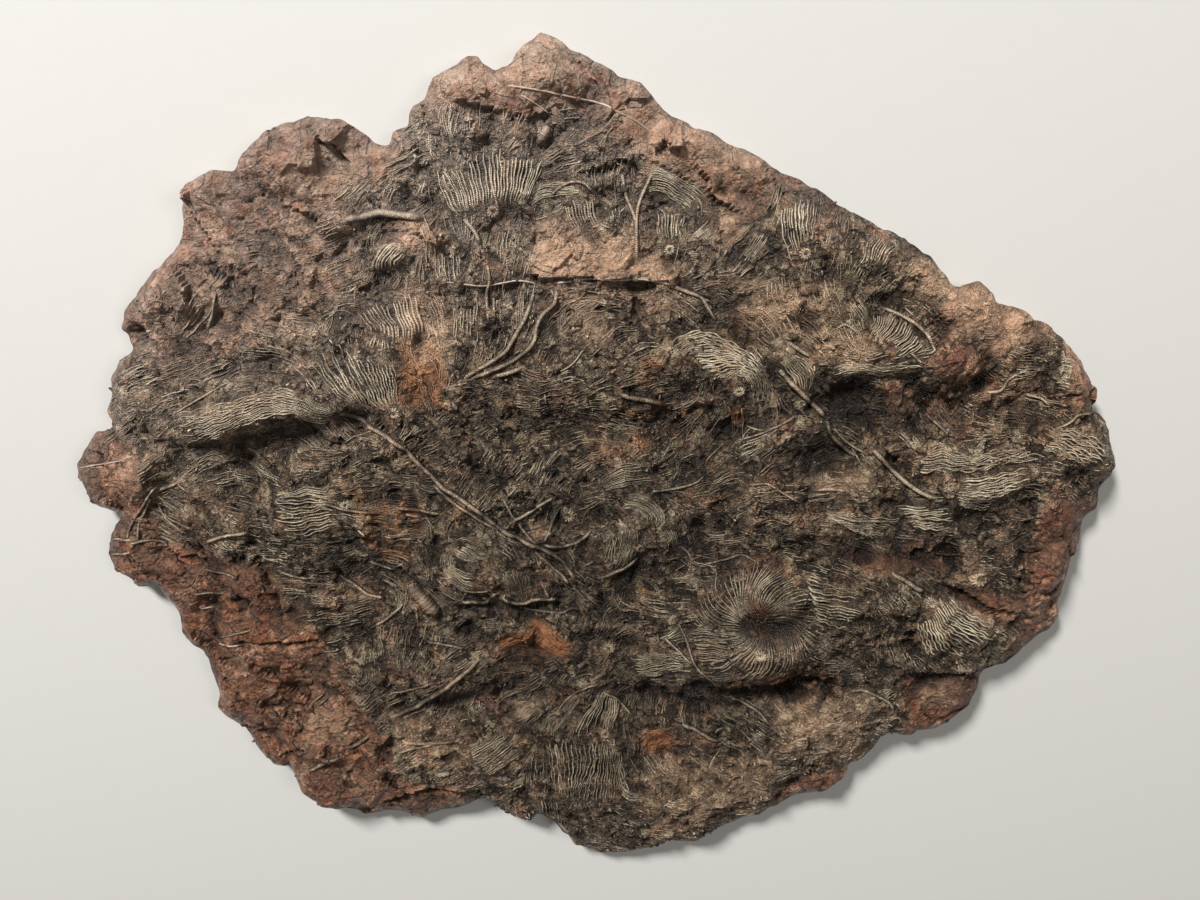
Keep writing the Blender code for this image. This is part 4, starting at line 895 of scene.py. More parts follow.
def lay_crown(land, strands, lines, rise, tone, dice):
    """One crown: a low bed, then its arms side by side."""
    count, points = lines.shape[:2]
    land.raise_bed(lines, rise * MM * 0.8)
    gaps = np.linalg.norm(np.diff(lines, axis=0), axis=2)
    if count > 2:
        gaps = np.vstack([gaps[:1], (gaps[:-1] + gaps[1:]) / 2.0, gaps[-1:]])
    else:
        gaps = np.full((count, points), 0.004)
    share = np.linspace(0.0, 1.0, points)
    taper = 1.0 - 0.40 * share**1.5
    middle = (count - 1) / 2.0
    for number in range(count):
        thickness = np.clip(gaps[number] * dice.uniform(0.38, 0.50), 0.0009, 0.0021) * taper
        first = dice.integers(0, 2)
        last = points - int(points * dice.uniform(0.0, 0.22))
        if dice.random() < 0.06 and points > 12:
            last = int(points * dice.uniform(0.5, 0.8))
        lift = 0.40 + dice.uniform(-0.25, 0.25) - 0.35 * abs(number - middle) / max(middle, 1.0)
        shade = tone + dice.normal(0.0, 0.13) + 0.12 * (share - 0.5)
        kept = slice(first, last)
        lay(land, strands, lines[number, kept], thickness[kept], shade[kept], lift, bury=1.3)


def lay_drift(land, strands, middle, angle, length, count, gap, tone, dice):
    """A loose bundle of arms that bends to run as the fossils about it do."""
    ahead = np.array((math.cos(angle), math.sin(angle)))
    left = np.array((-ahead[1], ahead[0]))
    offsets = (np.arange(count) - (count - 1) / 2.0) * gap + dice.normal(0.0, 0.0006, count)
    spots = middle + left * offsets[:, None] - ahead * length * dice.uniform(0.35, 0.65, (count, 1))
    way = np.tile(ahead, (count, 1))
    steps = [spots]
    for _ in range(max(4, int(length / DRIFT_STEP))):
        half = 0.5 * np.arctan2(land.sample(land.flow[1], spots), land.sample(land.flow[0], spots))
        pull = np.stack([np.cos(half), np.sin(half)], axis=1)
        pull *= np.sign((pull * way).sum(axis=1) + 1e-9)[:, None]
        way = way + pull * 0.3
        way /= np.linalg.norm(way, axis=1, keepdims=True)
        spots = spots + way * DRIFT_STEP
        steps.append(spots)
    lines = np.stack(steps, axis=1)
    if dice.random() < 0.5:
        land.raise_bed(lines, dice.uniform(0.0, 0.0035), 0.006)
    phase = dice.uniform(0.0, WAVE_TURN)
    for line in lines:
        first = dice.integers(0, max(1, len(line) // 3))
        last = len(line) - dice.integers(0, max(1, len(line) // 3))
        line = line[first:max(last, first + 4)]
        phase += dice.normal(0.0, 0.4)
        swing = 0.0010 * np.sin(WAVE_TURN * np.arange(len(line)) * DRIFT_STEP / 0.027 + phase)
        line = line + across(line) * swing[:, None]
        thickness = gap * dice.uniform(0.28, 0.42) * np.linspace(1.0, 0.7, len(line))
        lay(land, strands, line, thickness, tone + dice.normal(0.0, 0.12), dice.uniform(-0.55, 0.35), 2.2)
# ---------------------------------------------------------------- node trees


class Wire:
    """A node's output that can be added, multiplied and so on."""

    def __init__(self, graph, socket):
        self.graph = graph
        self.socket = socket

    def __add__(self, other):
        return self.graph.maths("ADD", self, other)

    def __radd__(self, other):
        return self.graph.maths("ADD", other, self)

    def __sub__(self, other):
        return self.graph.maths("SUBTRACT", self, other)

    def __rsub__(self, other):
        return self.graph.maths("SUBTRACT", other, self)

    def __mul__(self, other):
        return self.graph.maths("MULTIPLY", self, other)

    def __rmul__(self, other):
        return self.graph.maths("MULTIPLY", other, self)

    def __pow__(self, other):
        return self.graph.maths("POWER", self, other)

    def other(self, output):
        """Another output of the same node."""
        return Wire(self.graph, self.socket.node.outputs[output])

    def held(self):
        """Held between 0 and 1."""
        return self.graph.node("ShaderNodeMath", {"operation": "ADD", "use_clamp": True}, {0: self, 1: 0.0})

    def between(self, low, high):
        """0 at low, 1 at high, and a straight line between."""
        return ((self - low) * (1.0 / (high - low))).held()


class Graph:
    """A node tree that is built by calls."""

    def __init__(self, tree):
        self.tree = tree

    def node(self, kind, settings=None, values=None, output=0):
        """A node of this type: its settings first, then its sockets' values or links."""
        made = self.tree.nodes.new(kind)
        for name, value in (settings or {}).items():
            setattr(made, name, value)
        for name, value in (values or {}).items():
            socket = made.inputs[name]
            if isinstance(value, Wire):
                self.tree.links.new(value.socket, socket)
            else:
                socket.default_value = value
        return Wire(self, made.outputs[output]) if len(made.outputs) else made

    def maths(self, operation, *values):
        """One sum, of one or two values."""
        return self.node("ShaderNodeMath", {"operation": operation}, dict(enumerate(values)))

    def split(self, vector, output=0):
        """One of the three numbers of a vector or colour."""
        return self.node("ShaderNodeSeparateXYZ", {}, {0: vector}, output)

    def stored(self, name):
        """A number kept on the geometry under this name."""
        return self.node("GeometryNodeInputNamedAttribute", {"data_type": "FLOAT"}, {"Name": name})


class Finish(Graph):
    """A material and its nodes."""

    def __init__(self, name):
        self.material = bpy.data.materials.new(name)
        self.material.use_nodes = True
        super().__init__(self.material.node_tree)
        self.shader = self.tree.nodes["Principled BSDF"]
        self.coords = self.node("ShaderNodeTexCoord", output=3)

    def layer(self, name):
        """A number kept on the mesh."""
        return self.node("ShaderNodeAttribute", {"attribute_name": name}, output=2)

    def cloud(self, scale, detail=4.0, roughness=0.55):
        """Noise from 0 to 1."""
        return self.node("ShaderNodeTexNoise", {}, {
            "Vector": self.coords, "Scale": scale, "Detail": detail, "Roughness": roughness})

    def vector(self, operation, first, second, output=0):
        return self.node("ShaderNodeVectorMath", {"operation": operation}, {0: first, 1: second}, output)

    def swayed(self, size):
        """Coordinates that sway, so that cells of this size have uneven borders."""
        sway = self.node("ShaderNodeTexNoise", {}, {
            "Vector": self.coords, "Scale": 1.6 / size, "Detail": 2.0}, output=1)
        sway = self.vector("MULTIPLY", self.vector("SUBTRACT", sway, (0.5, 0.5, 0.5)), (size, size, size))
        return self.vector("ADD", self.coords, sway)

    def broken(self, size):
        """Scattered cells of this size: a random colour for each, and each point's offset from its middle."""
        place = self.swayed(size)
        tint = self.node("ShaderNodeTexVoronoi", {}, {"Vector": place, "Scale": 1.0 / size}, output=1)
        offset = self.vector("SUBTRACT", place, tint.other(2))
        return tint, offset

    def joint(self, size, width):
        """Thin open joints between cells of this size."""
        edge = self.node("ShaderNodeTexVoronoi", {"feature": "DISTANCE_TO_EDGE"}, {
            "Vector": self.swayed(size), "Scale": 1.0 / size})
        return (1.0 - edge * (size / width)).held()

    def chips(self, size, tilt, step):
        """Broken chips, each on its own slope and level in mm; and a random number for each."""
        tint, offset = self.broken(size)
        lean = self.vector("SUBTRACT", tint, (0.5, 0.5, 0.5))
        slope = self.vector("DOT_PRODUCT", offset, lean, output=1)
        level = self.split(tint, 1)
        return slope * (tilt * 2000.0) + level * step, level.other(2)

    def crease(self, scale):
        """Thin meandering cracks between lumps."""
        cloud = self.cloud(scale, 3.0, 0.6)
        return (1.0 - self.maths("ABSOLUTE", cloud - 0.5) * 22.0).held()

    def fibres(self, size, pitch):
        """Broken bundles of fine arms, running as the fossils about them do."""
        tint, offset = self.broken(size)
        part = self.split(tint)
        lie = self.maths("ARCTAN2", self.layer("flow_up"), self.layer("flow_right"))
        angle = 0.0 - lie * 0.5 - (part - 0.5) * 1.3
        run = self.split(self.node("ShaderNodeVectorRotate", {"rotation_type": "Z_AXIS"}, {
            "Vector": offset, "Angle": angle}))
        sway = self.cloud(70.0, 2.0) * 0.006
        ridge = self.maths("SINE", (run.other(1) + sway) * (TURN / pitch))
        beads = self.maths("SINE", run * (TURN / 0.0017))
        return ridge + beads * 0.2

    def mix(self, share, first, second):
        """One colour fading to another."""
        return self.node("ShaderNodeMix", {"data_type": "RGBA"}, {0: share, 6: first, 7: second}, output=2)

    def upward(self):
        """How far the surface faces up, 0 to 1."""
        return self.split(self.node("ShaderNodeNewGeometry", output=1), 2).held()

    def finish(self, colour, roughness, height, depth, distance=0.002):
        """Links these to the shader; depth and distance are the bump's."""
        bump = self.node("ShaderNodeBump", {}, {"Strength": depth, "Distance": distance, "Height": height})
        for name, value in (("Base Color", colour), ("Roughness", roughness), ("Normal", bump)):
            self.tree.links.new(value.socket, self.shader.inputs[name])
        return self.material


# Colours of the stone and of what lies in it
MAROON = (0.130, 0.058, 0.036, 1.0)
BROWN = (0.250, 0.128, 0.078, 1.0)
PINK_TAN = (0.370, 0.252, 0.182, 1.0)
TAN = (0.370, 0.262, 0.182, 1.0)
# Near black: painted shade in hollows, low spots, creases, pits and down the sides of arms; also the colour
# of open joints
SHADE_AND_JOINT_BLACK = (0.012, 0.007, 0.004, 1.0)
UMBER = (0.084, 0.058, 0.038, 1.0)
RED_EARTH = (0.180, 0.082, 0.045, 1.0)
SLATE = (0.100, 0.079, 0.054, 1.0)
DRAB = (0.210, 0.165, 0.115, 1.0)
# Pale grey: the arms' own pale tone, and the painted highlight on the crests of stone and arms
LICHEN = (0.335, 0.297, 0.222, 1.0)
PALE_STEM = (0.240, 0.203, 0.150, 1.0)
# White of calcite veins, and of painted glints and flecks
CHALK_AND_GLINT_WHITE = (0.650, 0.580, 0.470, 1.0)
DUST = (0.330, 0.280, 0.250, 1.0)
RUST = (0.255, 0.118, 0.052, 1.0)


def weathered(paint, colour, mottle):
    """What every piece shares: rust and tan stains by where it lies, pale dust towards the upper left,
    painted shade in hollows and in the shaded patches and cracks of the dark zone, and a lift that paints
    proud parts paler and makes all lighter towards the rim and the top.
    """
    rust = (paint.layer("rust") * 2.2 + mottle * 3.8 - 2.75).held() * (paint.layer("rust") * 4.0).held()
    colour = paint.mix(rust * 0.72, colour, RUST)
    tan = (paint.layer("tan") * (mottle * 2.4 - 0.35)).held()
    colour = paint.mix(tan * 0.75, colour, TAN)
    lie = paint.layer("hollow")
    # Painted shade: hollows, and the shaded valleys and ledges of the dark zone, go towards near black; that
    # zone also carries the cracks' own dark lines
    hollow_shade_and_cracks = (lie.held() * 0.80 + paint.layer("dark") * 0.60).held()
    colour = paint.mix(hollow_shade_and_cracks * 0.92, colour, SHADE_AND_JOINT_BLACK)
    x = paint.split(paint.coords)
    y = x.other(1)
    # Lighter towards the rim and the top, least in the middle
    out = (x - 0.02) ** 2.0 * 2.0 + (y + 0.14) ** 2.0 * 4.0 + y * 0.6
    dust = (y * 1.6 - x * 0.6 - 0.3).held() * (mottle * 2.4 - 0.6).held()
    colour = paint.mix(dust * 0.6, colour, DUST)
    bare = paint.layer("bare")
    # Painted light: proud parts are made paler than hollow ones, on top of the lift towards the rim and the
    # top
    pale = 2.05 + out.held() * (0.95 - bare * 0.2) + (0.0 - lie).held() * (0.9 - bare * 0.65)
    deep = paint.node("ShaderNodeGamma", {}, {0: colour, 1: 1.22})
    return paint.node("ShaderNodeVectorMath", {"operation": "SCALE"}, {0: deep, 3: pale})


def stone_finish():
    """Brown-maroon limestone: mottled where bare, dark, earthy and full of broken arms elsewhere; its low
    spots, creases and pits carry painted shade, its crests a painted highlight, and it is flecked with
    painted glints.
    """
    paint = Finish("fossil_stone_face")
    broad = paint.cloud(11.0, 3.0)
    patch = paint.cloud(27.0, 5.0, 0.6)
    mottle = paint.cloud(60.0, 7.0, 0.66)
    grain = paint.cloud(300.0, 6.0, 0.70)
    bare = paint.layer("bare")
    large, large_tint = paint.chips(0.030, 0.13, 1.8)
    block, block_tint = paint.chips(0.100, 0.07, 2.2)
    joint = paint.joint(0.100, 0.0020) * (bare * 2.0 - 1.0).held() * (mottle * 5.0 - 1.9).held()
    small, small_tint = paint.chips(0.0095, 0.24, 0.9)
    tiny, tiny_tint = paint.chips(0.0042, 0.30, 0.5)
    crease = (paint.crease(24.0) + paint.crease(70.0) * 0.7) * (1.0 - bare * 0.4)
    fibres = paint.fibres(0.034, 0.0036) * (1.0 - bare) * (broad * 3.0 - 0.9).held()
    height = large * 0.6 + small * 0.6 + tiny * 0.5 + mottle * (2.2 - bare * 0.6) - crease * 1.6
    height = height + (block * 0.8 + large * 0.5 + small * 0.3) * bare - joint * 2.0
    crest = height.between(1.2, 3.8)
    showing = (bare + (patch * 3.0 + large_tint * 0.9 - 2.15).held() * 0.55).held()
    stone = paint.mix((broad * 1.4 + mottle * 2.0 + block_tint * 0.9 - 1.65).held(), MAROON, BROWN)
    pink = (patch * 2.0 + large_tint * 0.7 + block_tint * 0.7 + mottle * 1.5 + tiny_tint * 0.5 - 2.65).held()
    stone = paint.mix(pink * 0.85, stone, PINK_TAN)
    # Painted shade: the low spots of the bare stone go towards umber
    stone = paint.mix((0.75 - crest * 1.5).held() * 0.7, stone, UMBER)
    matrix = paint.mix((patch * 2.2 + large_tint * 0.8 + small_tint * 0.3 - 1.15).held(), UMBER, DRAB)
    warm = (patch * 4.0 + large_tint * 0.8 + small_tint * 0.6 - 2.75).held()
    matrix = paint.mix(warm * 0.85, matrix, RED_EARTH)
    # Painted highlight on the crests of the matrix, mixed with its mottle and tone
    crest_light_and_mottle = (crest * 1.2 + mottle + paint.layer("tone") * 0.5 - 1.20).held()
    matrix = paint.mix(crest_light_and_mottle * 0.85, matrix, LICHEN)
    # Painted shade in the matrix's low spots
    matrix = paint.mix((0.48 - crest * 1.6).held(), matrix, SHADE_AND_JOINT_BLACK)
    colour = paint.mix(showing, matrix, stone)
    fine = paint.cloud(820.0, 2.0, 0.6)
    # Painted glints and pale flecks, more of them where grit lies
    glint_and_fleck = (grain * 2.6 + fine * 2.2 - 2.66).held() * (0.40 + paint.layer("grit") * 0.60)
    colour = paint.mix(glint_and_fleck * 0.8, colour, CHALK_AND_GLINT_WHITE)
    # Painted shade in creases and pits; the joints are dark lines of their own
    pit = (2.2 - grain * 2.4 - fine * 2.6).held()
    colour = paint.mix((crease * 0.75 + pit * 0.7 + joint * 0.8).held(), colour, SHADE_AND_JOINT_BLACK)
    colour = weathered(paint, colour, mottle)
    roughness = 0.45 - crest * 0.26 + grain * 0.1
    return paint.finish(colour, roughness, height + grain * 2.2 + fine * 0.6 + fibres * 0.7, 1.0, 0.0022)


def arm_finish(name, dull, bright, ring=0.0022):
    """Arms and stems: grey-brown, with a painted highlight on the upward-facing crest and painted shade down
    the sides, painted glints and pits, ringed by their plates.
    """
    paint = Finish(name)
    tone = paint.layer("tone")
    broad = paint.cloud(13.0, 3.0)
    mottle = paint.cloud(46.0, 6.0, 0.62)
    grain = paint.cloud(330.0, 4.0, 0.62)
    small, small_tint = paint.chips(0.0085, 0.16, 0.6)
    crest = paint.upward().between(0.45, 0.98)
    # Painted light: the arm is paler where it faces up, besides its own tone and mottle
    share = tone * 1.0 + crest * 0.45 + mottle * 1.8 + small_tint * 0.6 + grain * 0.8 - 2.10
    colour = paint.mix(share.held(), dull, bright)
    warm = (broad * 2.6 + small_tint * 0.6 - 1.55).held()
    colour = paint.mix(warm * (1.0 - tone * 0.6) * 0.8, colour, RED_EARTH)
    # Painted shade down the sides that face away from above
    colour = paint.mix((1.0 - crest) * 0.85, colour, SHADE_AND_JOINT_BLACK)
    fine = paint.cloud(820.0, 2.0, 0.6)
    # Painted glints on the upward-facing crest
    glint = (grain * 2.6 + fine * 2.4 - 2.62).held() * crest
    colour = paint.mix(glint * 0.8, colour, CHALK_AND_GLINT_WHITE)
    # Painted shade in small pits
    colour = paint.mix((2.1 - grain * 2.4 - fine * 2.4).held() * 0.5, colour, SHADE_AND_JOINT_BLACK)
    colour = weathered(paint, colour, mottle)
    plates = paint.maths("SINE", paint.layer("run") * (TURN / ring))
    height = plates * 0.12 + grain * 0.9 + mottle * 0.3 + small * 0.3
    return paint.finish(colour, 0.43 - crest * 0.2 + grain * 0.1, height + fine * 0.5, 1.0, 0.0018)


def vein_finish():
    """White calcite."""
    paint = Finish("calcite_vein")
    mottle = paint.cloud(60.0, 5.0)
    grain = paint.cloud(420.0, 4.0)
    colour = paint.mix((mottle * 1.8 - 0.4).held(), BROWN, CHALK_AND_GLINT_WHITE)
    colour = paint.mix((grain * 2.0 - 1.0).held() * 0.5, colour, PINK_TAN)
    return paint.finish(colour, 0.38 + grain * 0.2, grain + mottle, 0.5, 0.001)


# ---------------------------------------------------------------- Geometry Nodes


def new_tree(name, inputs):
    """A modifier tree with a geometry input and these named inputs."""
    tree = bpy.data.node_groups.new(name, "GeometryNodeTree")
    tree.interface.new_socket("Geometry", in_out="INPUT", socket_type="NodeSocketGeometry")
    for label, kind in inputs:
        tree.interface.new_socket(label, in_out="INPUT", socket_type="NodeSocket" + kind)
    tree.interface.new_socket("Geometry", in_out="OUTPUT", socket_type="NodeSocketGeometry")
    graph = Graph(tree)
    start = tree.nodes.new("NodeGroupInput")
    given = {socket.name: Wire(graph, socket) for socket in start.outputs if socket.name}
    return graph, given


def close_tree(graph, geometry, given):
    """Realize Instances and Set Material, then out."""
    plain = graph.node("GeometryNodeRealizeInstances", {}, {0: geometry})
    painted = graph.node("GeometryNodeSetMaterial", {}, {"Geometry": plain, "Material": given["Material"]})
    graph.node("NodeGroupOutput", {}, {0: painted})
    return graph.tree


def tube_tree():
    """Lines to round arms and stems, thick and thin by turns as their plates are."""
    graph, given = new_tree("arms_along_lines", [
        ("Plate Pitch", "Float"), ("Plate Depth", "Float"), ("Sides", "Int"), ("Material", "Material")])
    curve = graph.node("GeometryNodeMeshToCurve", {}, {0: given["Geometry"]})
    curve = graph.node("GeometryNodeResampleCurve", {"mode": "LENGTH"}, {
        "Curve": curve, "Length": given["Plate Pitch"]})
    curve = graph.node("GeometryNodeSetCurveNormal", {"mode": "Z_UP"}, {"Curve": curve})
    turn = graph.maths("MODULO", graph.node("GeometryNodeInputIndex"), 2.0)
    size = graph.stored("thickness") * (1.0 - turn * given["Plate Depth"])
    ring = graph.node("GeometryNodeCurvePrimitiveCircle", {}, {"Resolution": given["Sides"], "Radius": 1.0})
    tube = graph.node("GeometryNodeCurveToMesh", {}, {
        "Curve": curve, "Profile Curve": ring, "Scale": size, "Fill Caps": True})
    tube = graph.node("GeometryNodeSetShadeSmooth", {}, {"Geometry": tube, "Shade Smooth": True})
    return close_tree(graph, tube, given)


def scatter_tree(name, shapes, tilt, smooth):
    """Small things scattered over the stone where its map of them says, each turned and sized by chance."""
    graph, given = new_tree(name, [
        ("Map", "String"), ("Most per Square Metre", "Float"), ("Smallest", "Float"), ("Largest", "Float"),
        ("Seed", "Int"), ("Material", "Material")])
    density = graph.stored(given["Map"]) * given["Most per Square Metre"]
    points = graph.node("GeometryNodeDistributePointsOnFaces", {"distribute_method": "RANDOM"}, {
        "Mesh": given["Geometry"], "Density": density, "Seed": given["Seed"]})
    tone = graph.node("FunctionNodeRandomValue", {"data_type": "FLOAT"}, {2: 0.0, 3: 0.8, 8: 3}, output=1)
    points = graph.node("GeometryNodeStoreNamedAttribute", {"data_type": "FLOAT", "domain": "POINT"}, {
        "Geometry": points, "Name": "tone", "Value": tone})
    kinds = graph.tree.nodes.new("GeometryNodeGeometryToInstance")
    for kind, values, scale in shapes:
        shape = graph.node(kind, {}, values)
        shape = graph.node("GeometryNodeTransform", {}, {"Geometry": shape, "Scale": scale})
        graph.tree.links.new(shape.socket, kinds.inputs[0])
    turn = graph.node("FunctionNodeRandomValue", {"data_type": "FLOAT_VECTOR"}, {
        0: (-tilt, -tilt, 0.0), 1: (tilt, tilt, WAVE_TURN), 8: 5})
    turn = graph.node("FunctionNodeEulerToRotation", {}, {0: turn})
    share = graph.node("FunctionNodeRandomValue", {"data_type": "FLOAT"}, {2: 0.0, 3: 1.0, 8: 9}, output=1)
    size = given["Smallest"] + (given["Largest"] - given["Smallest"]) * share**2.5
    laid = graph.node("GeometryNodeInstanceOnPoints", {}, {
        "Points": points, "Instance": Wire(graph, kinds.outputs[0]), "Pick Instance": True, "Rotation": turn,
        "Scale": size})
    laid = graph.node("GeometryNodeSetShadeSmooth", {}, {"Geometry": laid, "Shade Smooth": smooth})
    return close_tree(graph, laid, given)


def placed(name, data):
    """A new object in the scene."""
    made = bpy.data.objects.new(name, data)
    bpy.context.scene.collection.objects.link(made)
    return made


def through_tree(name, mesh, tree, settings):
    """A plain mesh made by running a mesh through a tree, with its named inputs set."""
    source = placed(name, mesh)
    modifier = source.modifiers.new("Build", "NODES")
    modifier.node_group = tree
    for item in tree.interface.items_tree:
        if item.in_out == "INPUT" and item.name in settings:
            modifier[item.identifier] = settings[item.name]
    graph = bpy.context.evaluated_depsgraph_get()
    made = bpy.data.meshes.new_from_object(
        source.evaluated_get(graph), preserve_all_data_layers=True, depsgraph=graph)
    source.modifiers.remove(modifier)
    source.data = made
    made.name = name
    bpy.data.meshes.remove(mesh)
    return source


# ---------------------------------------------------------------- pieces


def put_layer(mesh, name, values):
    """Keeps a number for each point of a mesh under this name."""
    attribute = mesh.attributes.get(name) or mesh.attributes.new(name, "FLOAT", "POINT")
    attribute.data.foreach_set("value", np.asarray(values, np.float32))


def places_of(mesh):
    """The places of a mesh's points."""
    places = np.empty(len(mesh.vertices) * 3, np.float32)
    mesh.vertices.foreach_get("co", places)
    return places.reshape(-1, 3).astype(float)


def finish_piece(piece, land, hollow):
    """Gives a piece its zone layers, and has it ride with the stone."""
    mesh = piece.data
    places = places_of(mesh)
    layers = {"hollow": hollow, "flow_right": land.flow[0], "flow_up": land.flow[1]}
    for name, layer in (land.zones | layers).items():
        put_layer(mesh, name, land.sample(layer, places))
    for name in ("thickness", "litter", "rubble", "blocks"):
        if name in mesh.attributes:
            mesh.attributes.remove(mesh.attributes[name])
    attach(piece, "root")


def strands_mesh(strands):
    """All lines as one mesh of edges, with thickness, tone and run along each line."""
    mesh = bpy.data.meshes.new("lines")
    sizes = [len(line[0]) for line in strands.lines]
    places = np.vstack([line[0] for line in strands.lines])
    ends = np.cumsum(sizes)
    joined = np.arange(len(places) - 1)
    joined = joined[~np.isin(joined, ends - 1)]
    edges = np.column_stack([joined, joined + 1])
    mesh.vertices.add(len(places))
    mesh.vertices.foreach_set("co", places.astype(np.float32).ravel())
    mesh.edges.add(len(edges))
    mesh.edges.foreach_set("vertices", edges.astype(np.int32).ravel())
    put_layer(mesh, "thickness", np.concatenate([line[1] for line in strands.lines]))
    put_layer(mesh, "tone", np.concatenate([line[2] for line in strands.lines]))
    runs = [np.concatenate([[0.0], np.cumsum(step_lengths(line[0]))]) for line in strands.lines]
    put_layer(mesh, "run", np.concatenate(runs))
    mesh.update()
    return mesh


def tubes(name, strands, tree, pitch, depth, sides, material):
    """A piece of round arms or stems, one along each line."""
    settings = {"Plate Pitch": pitch, "Plate Depth": depth, "Sides": sides, "Material": material}
    return through_tree(name, strands_mesh(strands), tree, settings)


def slab_stone(land, material):
    """The whole stone: its face, its broken edge in rows, and its flat back."""
    columns, rows = land.shape
    index = np.arange(columns * rows).reshape(columns, rows)
    cells = np.stack([index[:-1, :-1], index[1:, :-1], index[1:, 1:], index[:-1, 1:]], axis=-1)
    middles = land.coarse[cells.reshape(-1, 4)].mean(axis=1)
    kept = inside(middles, EDGE_LINE[:-1]).reshape(cells.shape[:2])
    cells = cells[kept]
    used = np.unique(cells)
    number = np.full(columns * rows, -1)
    number[used] = np.arange(len(used))
    cells = number[cells]
    flat = land.coarse[used].copy()
    sides = np.vstack([cells[:, [0, 1]], cells[:, [1, 2]], cells[:, [2, 3]], cells[:, [3, 0]]])
    keys = set(map(tuple, sides.tolist()))
    rim = [side for side in sides.tolist() if (side[1], side[0]) not in keys]
    after = dict(rim)
    loops = []
    while after:
        first = next(iter(after))
        loop = [first]
        following = after.pop(first)
        while following != first:
            loop.append(following)
            following = after.pop(following)
        loops.append(loop)
    rim_points = np.array(sorted({point for side in rim for point in side}))
    flat[rim_points] = nearest_on_edge(flat[rim_points])
    for loop in loops:
        loop = np.array(loop)
        chip = 0.0016 + 0.0030 * lumps(flat[loop], 0.014, 55) + 0.0016 * lumps(flat[loop], 0.006, 56)
        flat[loop] += inwards(flat[loop]) * np.clip(chip, 0.0008, 0.006)[:, None]
        flat[loop] = flat[loop] / 2.0 + (flat[np.roll(loop, 1)] + flat[np.roll(loop, -1)]) / 4.0
    height = land.sample(land.height, flat)
    places = [np.column_stack([flat, height])]
    faces = [cells]
    for loop in loops:
        loop = np.array(loop)
        top = places[0][loop]
        towards = np.roll(top[:, :2], 1, axis=0) - np.roll(top[:, :2], -1, axis=0)
        inner = inwards(top[:, :2])
        start = sum(len(part) for part in places)
        above = loop
        around = np.cumsum(np.linalg.norm(towards, axis=1)) / 2.0
        for row in range(1, WALL_ROWS + 1):
            share = 1.0 - row / WALL_ROWS
            spot = np.column_stack([around, np.full(len(loop), row * ROW_STEP)])
            chip = facets(spot, 0.026, 51) * 0.8 + facets(spot, 0.011, 52) * 0.6
            depth = BACK_INSET * (1.0 - share) + np.clip(0.004 + chip * 1.2, 0.0, 0.010) * min(1.0, row / 2.0)
            # A row that would fold back on itself is let out again, a little at a time
            for _ in range(30):
                drawn = top[:, :2] + inner * depth[:, None]
                turned = np.roll(drawn, 1, axis=0) - np.roll(drawn, -1, axis=0)
                folded = (towards * turned).sum(axis=1) <= 0.0
                ahead = np.roll(drawn, -1, axis=0) - drawn
                folded |= (ahead * (np.roll(top[:, :2], -1, axis=0) - top[:, :2])).sum(axis=1) <= 0.0
                for shift in range(-3, 4):
                    depth = depth * np.where(np.roll(folded, shift), 0.92, 1.0)
            ring = np.column_stack([top[:, :2] + inner * depth[:, None], top[:, 2] * share])
            places.append(ring)
            below = start + np.arange(len(loop))
            start += len(loop)
            faces.append(np.column_stack([above, below, np.roll(below, -1), np.roll(above, -1)]))
            above = below
    mesh = bpy.data.meshes.new("slab_stone")
    mesh.from_pydata(np.vstack(places).tolist(), [], np.vstack(faces).tolist())
    bm = bmesh.new()
    bm.from_mesh(mesh)
    under = [edge for edge in bm.edges if edge.is_boundary]
    back = bmesh.ops.triangle_fill(bm, use_beauty=True, edges=under, normal=(0.0, 0.0, -1.0))
    for face in back["geom"]:
        if isinstance(face, bmesh.types.BMFace):
            face.normal_update()
            if face.normal.z > 0.0:
                face.normal_flip()
    bm.to_mesh(mesh)
    bm.free()
    mesh.materials.append(material)
    return placed("slab_stone", mesh)


def inwards(loop):
    """For each point of a loop, the unit vector in from the rim."""
    towards = np.roll(loop, 1, axis=0) - np.roll(loop, -1, axis=0)
    inner = np.column_stack([towards[:, 1], -towards[:, 0]])
    return inner / (np.linalg.norm(inner, axis=1, keepdims=True) + 1e-9)


def nearest_on_edge(points):
    """The nearest places on the outline."""
    best = np.full(len(points), np.inf)
    found = points.copy()
    for first, last in zip(EDGE_LINE[:-1], EDGE_LINE[1:]):
        run = last - first
        share = np.clip((points - first) @ run / (run @ run), 0.0, 1.0)
        spot = first + share[:, None] * run
        gap = np.linalg.norm(points - spot, axis=1)
        closer = gap < best
        best[closer] = gap[closer]
        found[closer] = spot[closer]
    return found


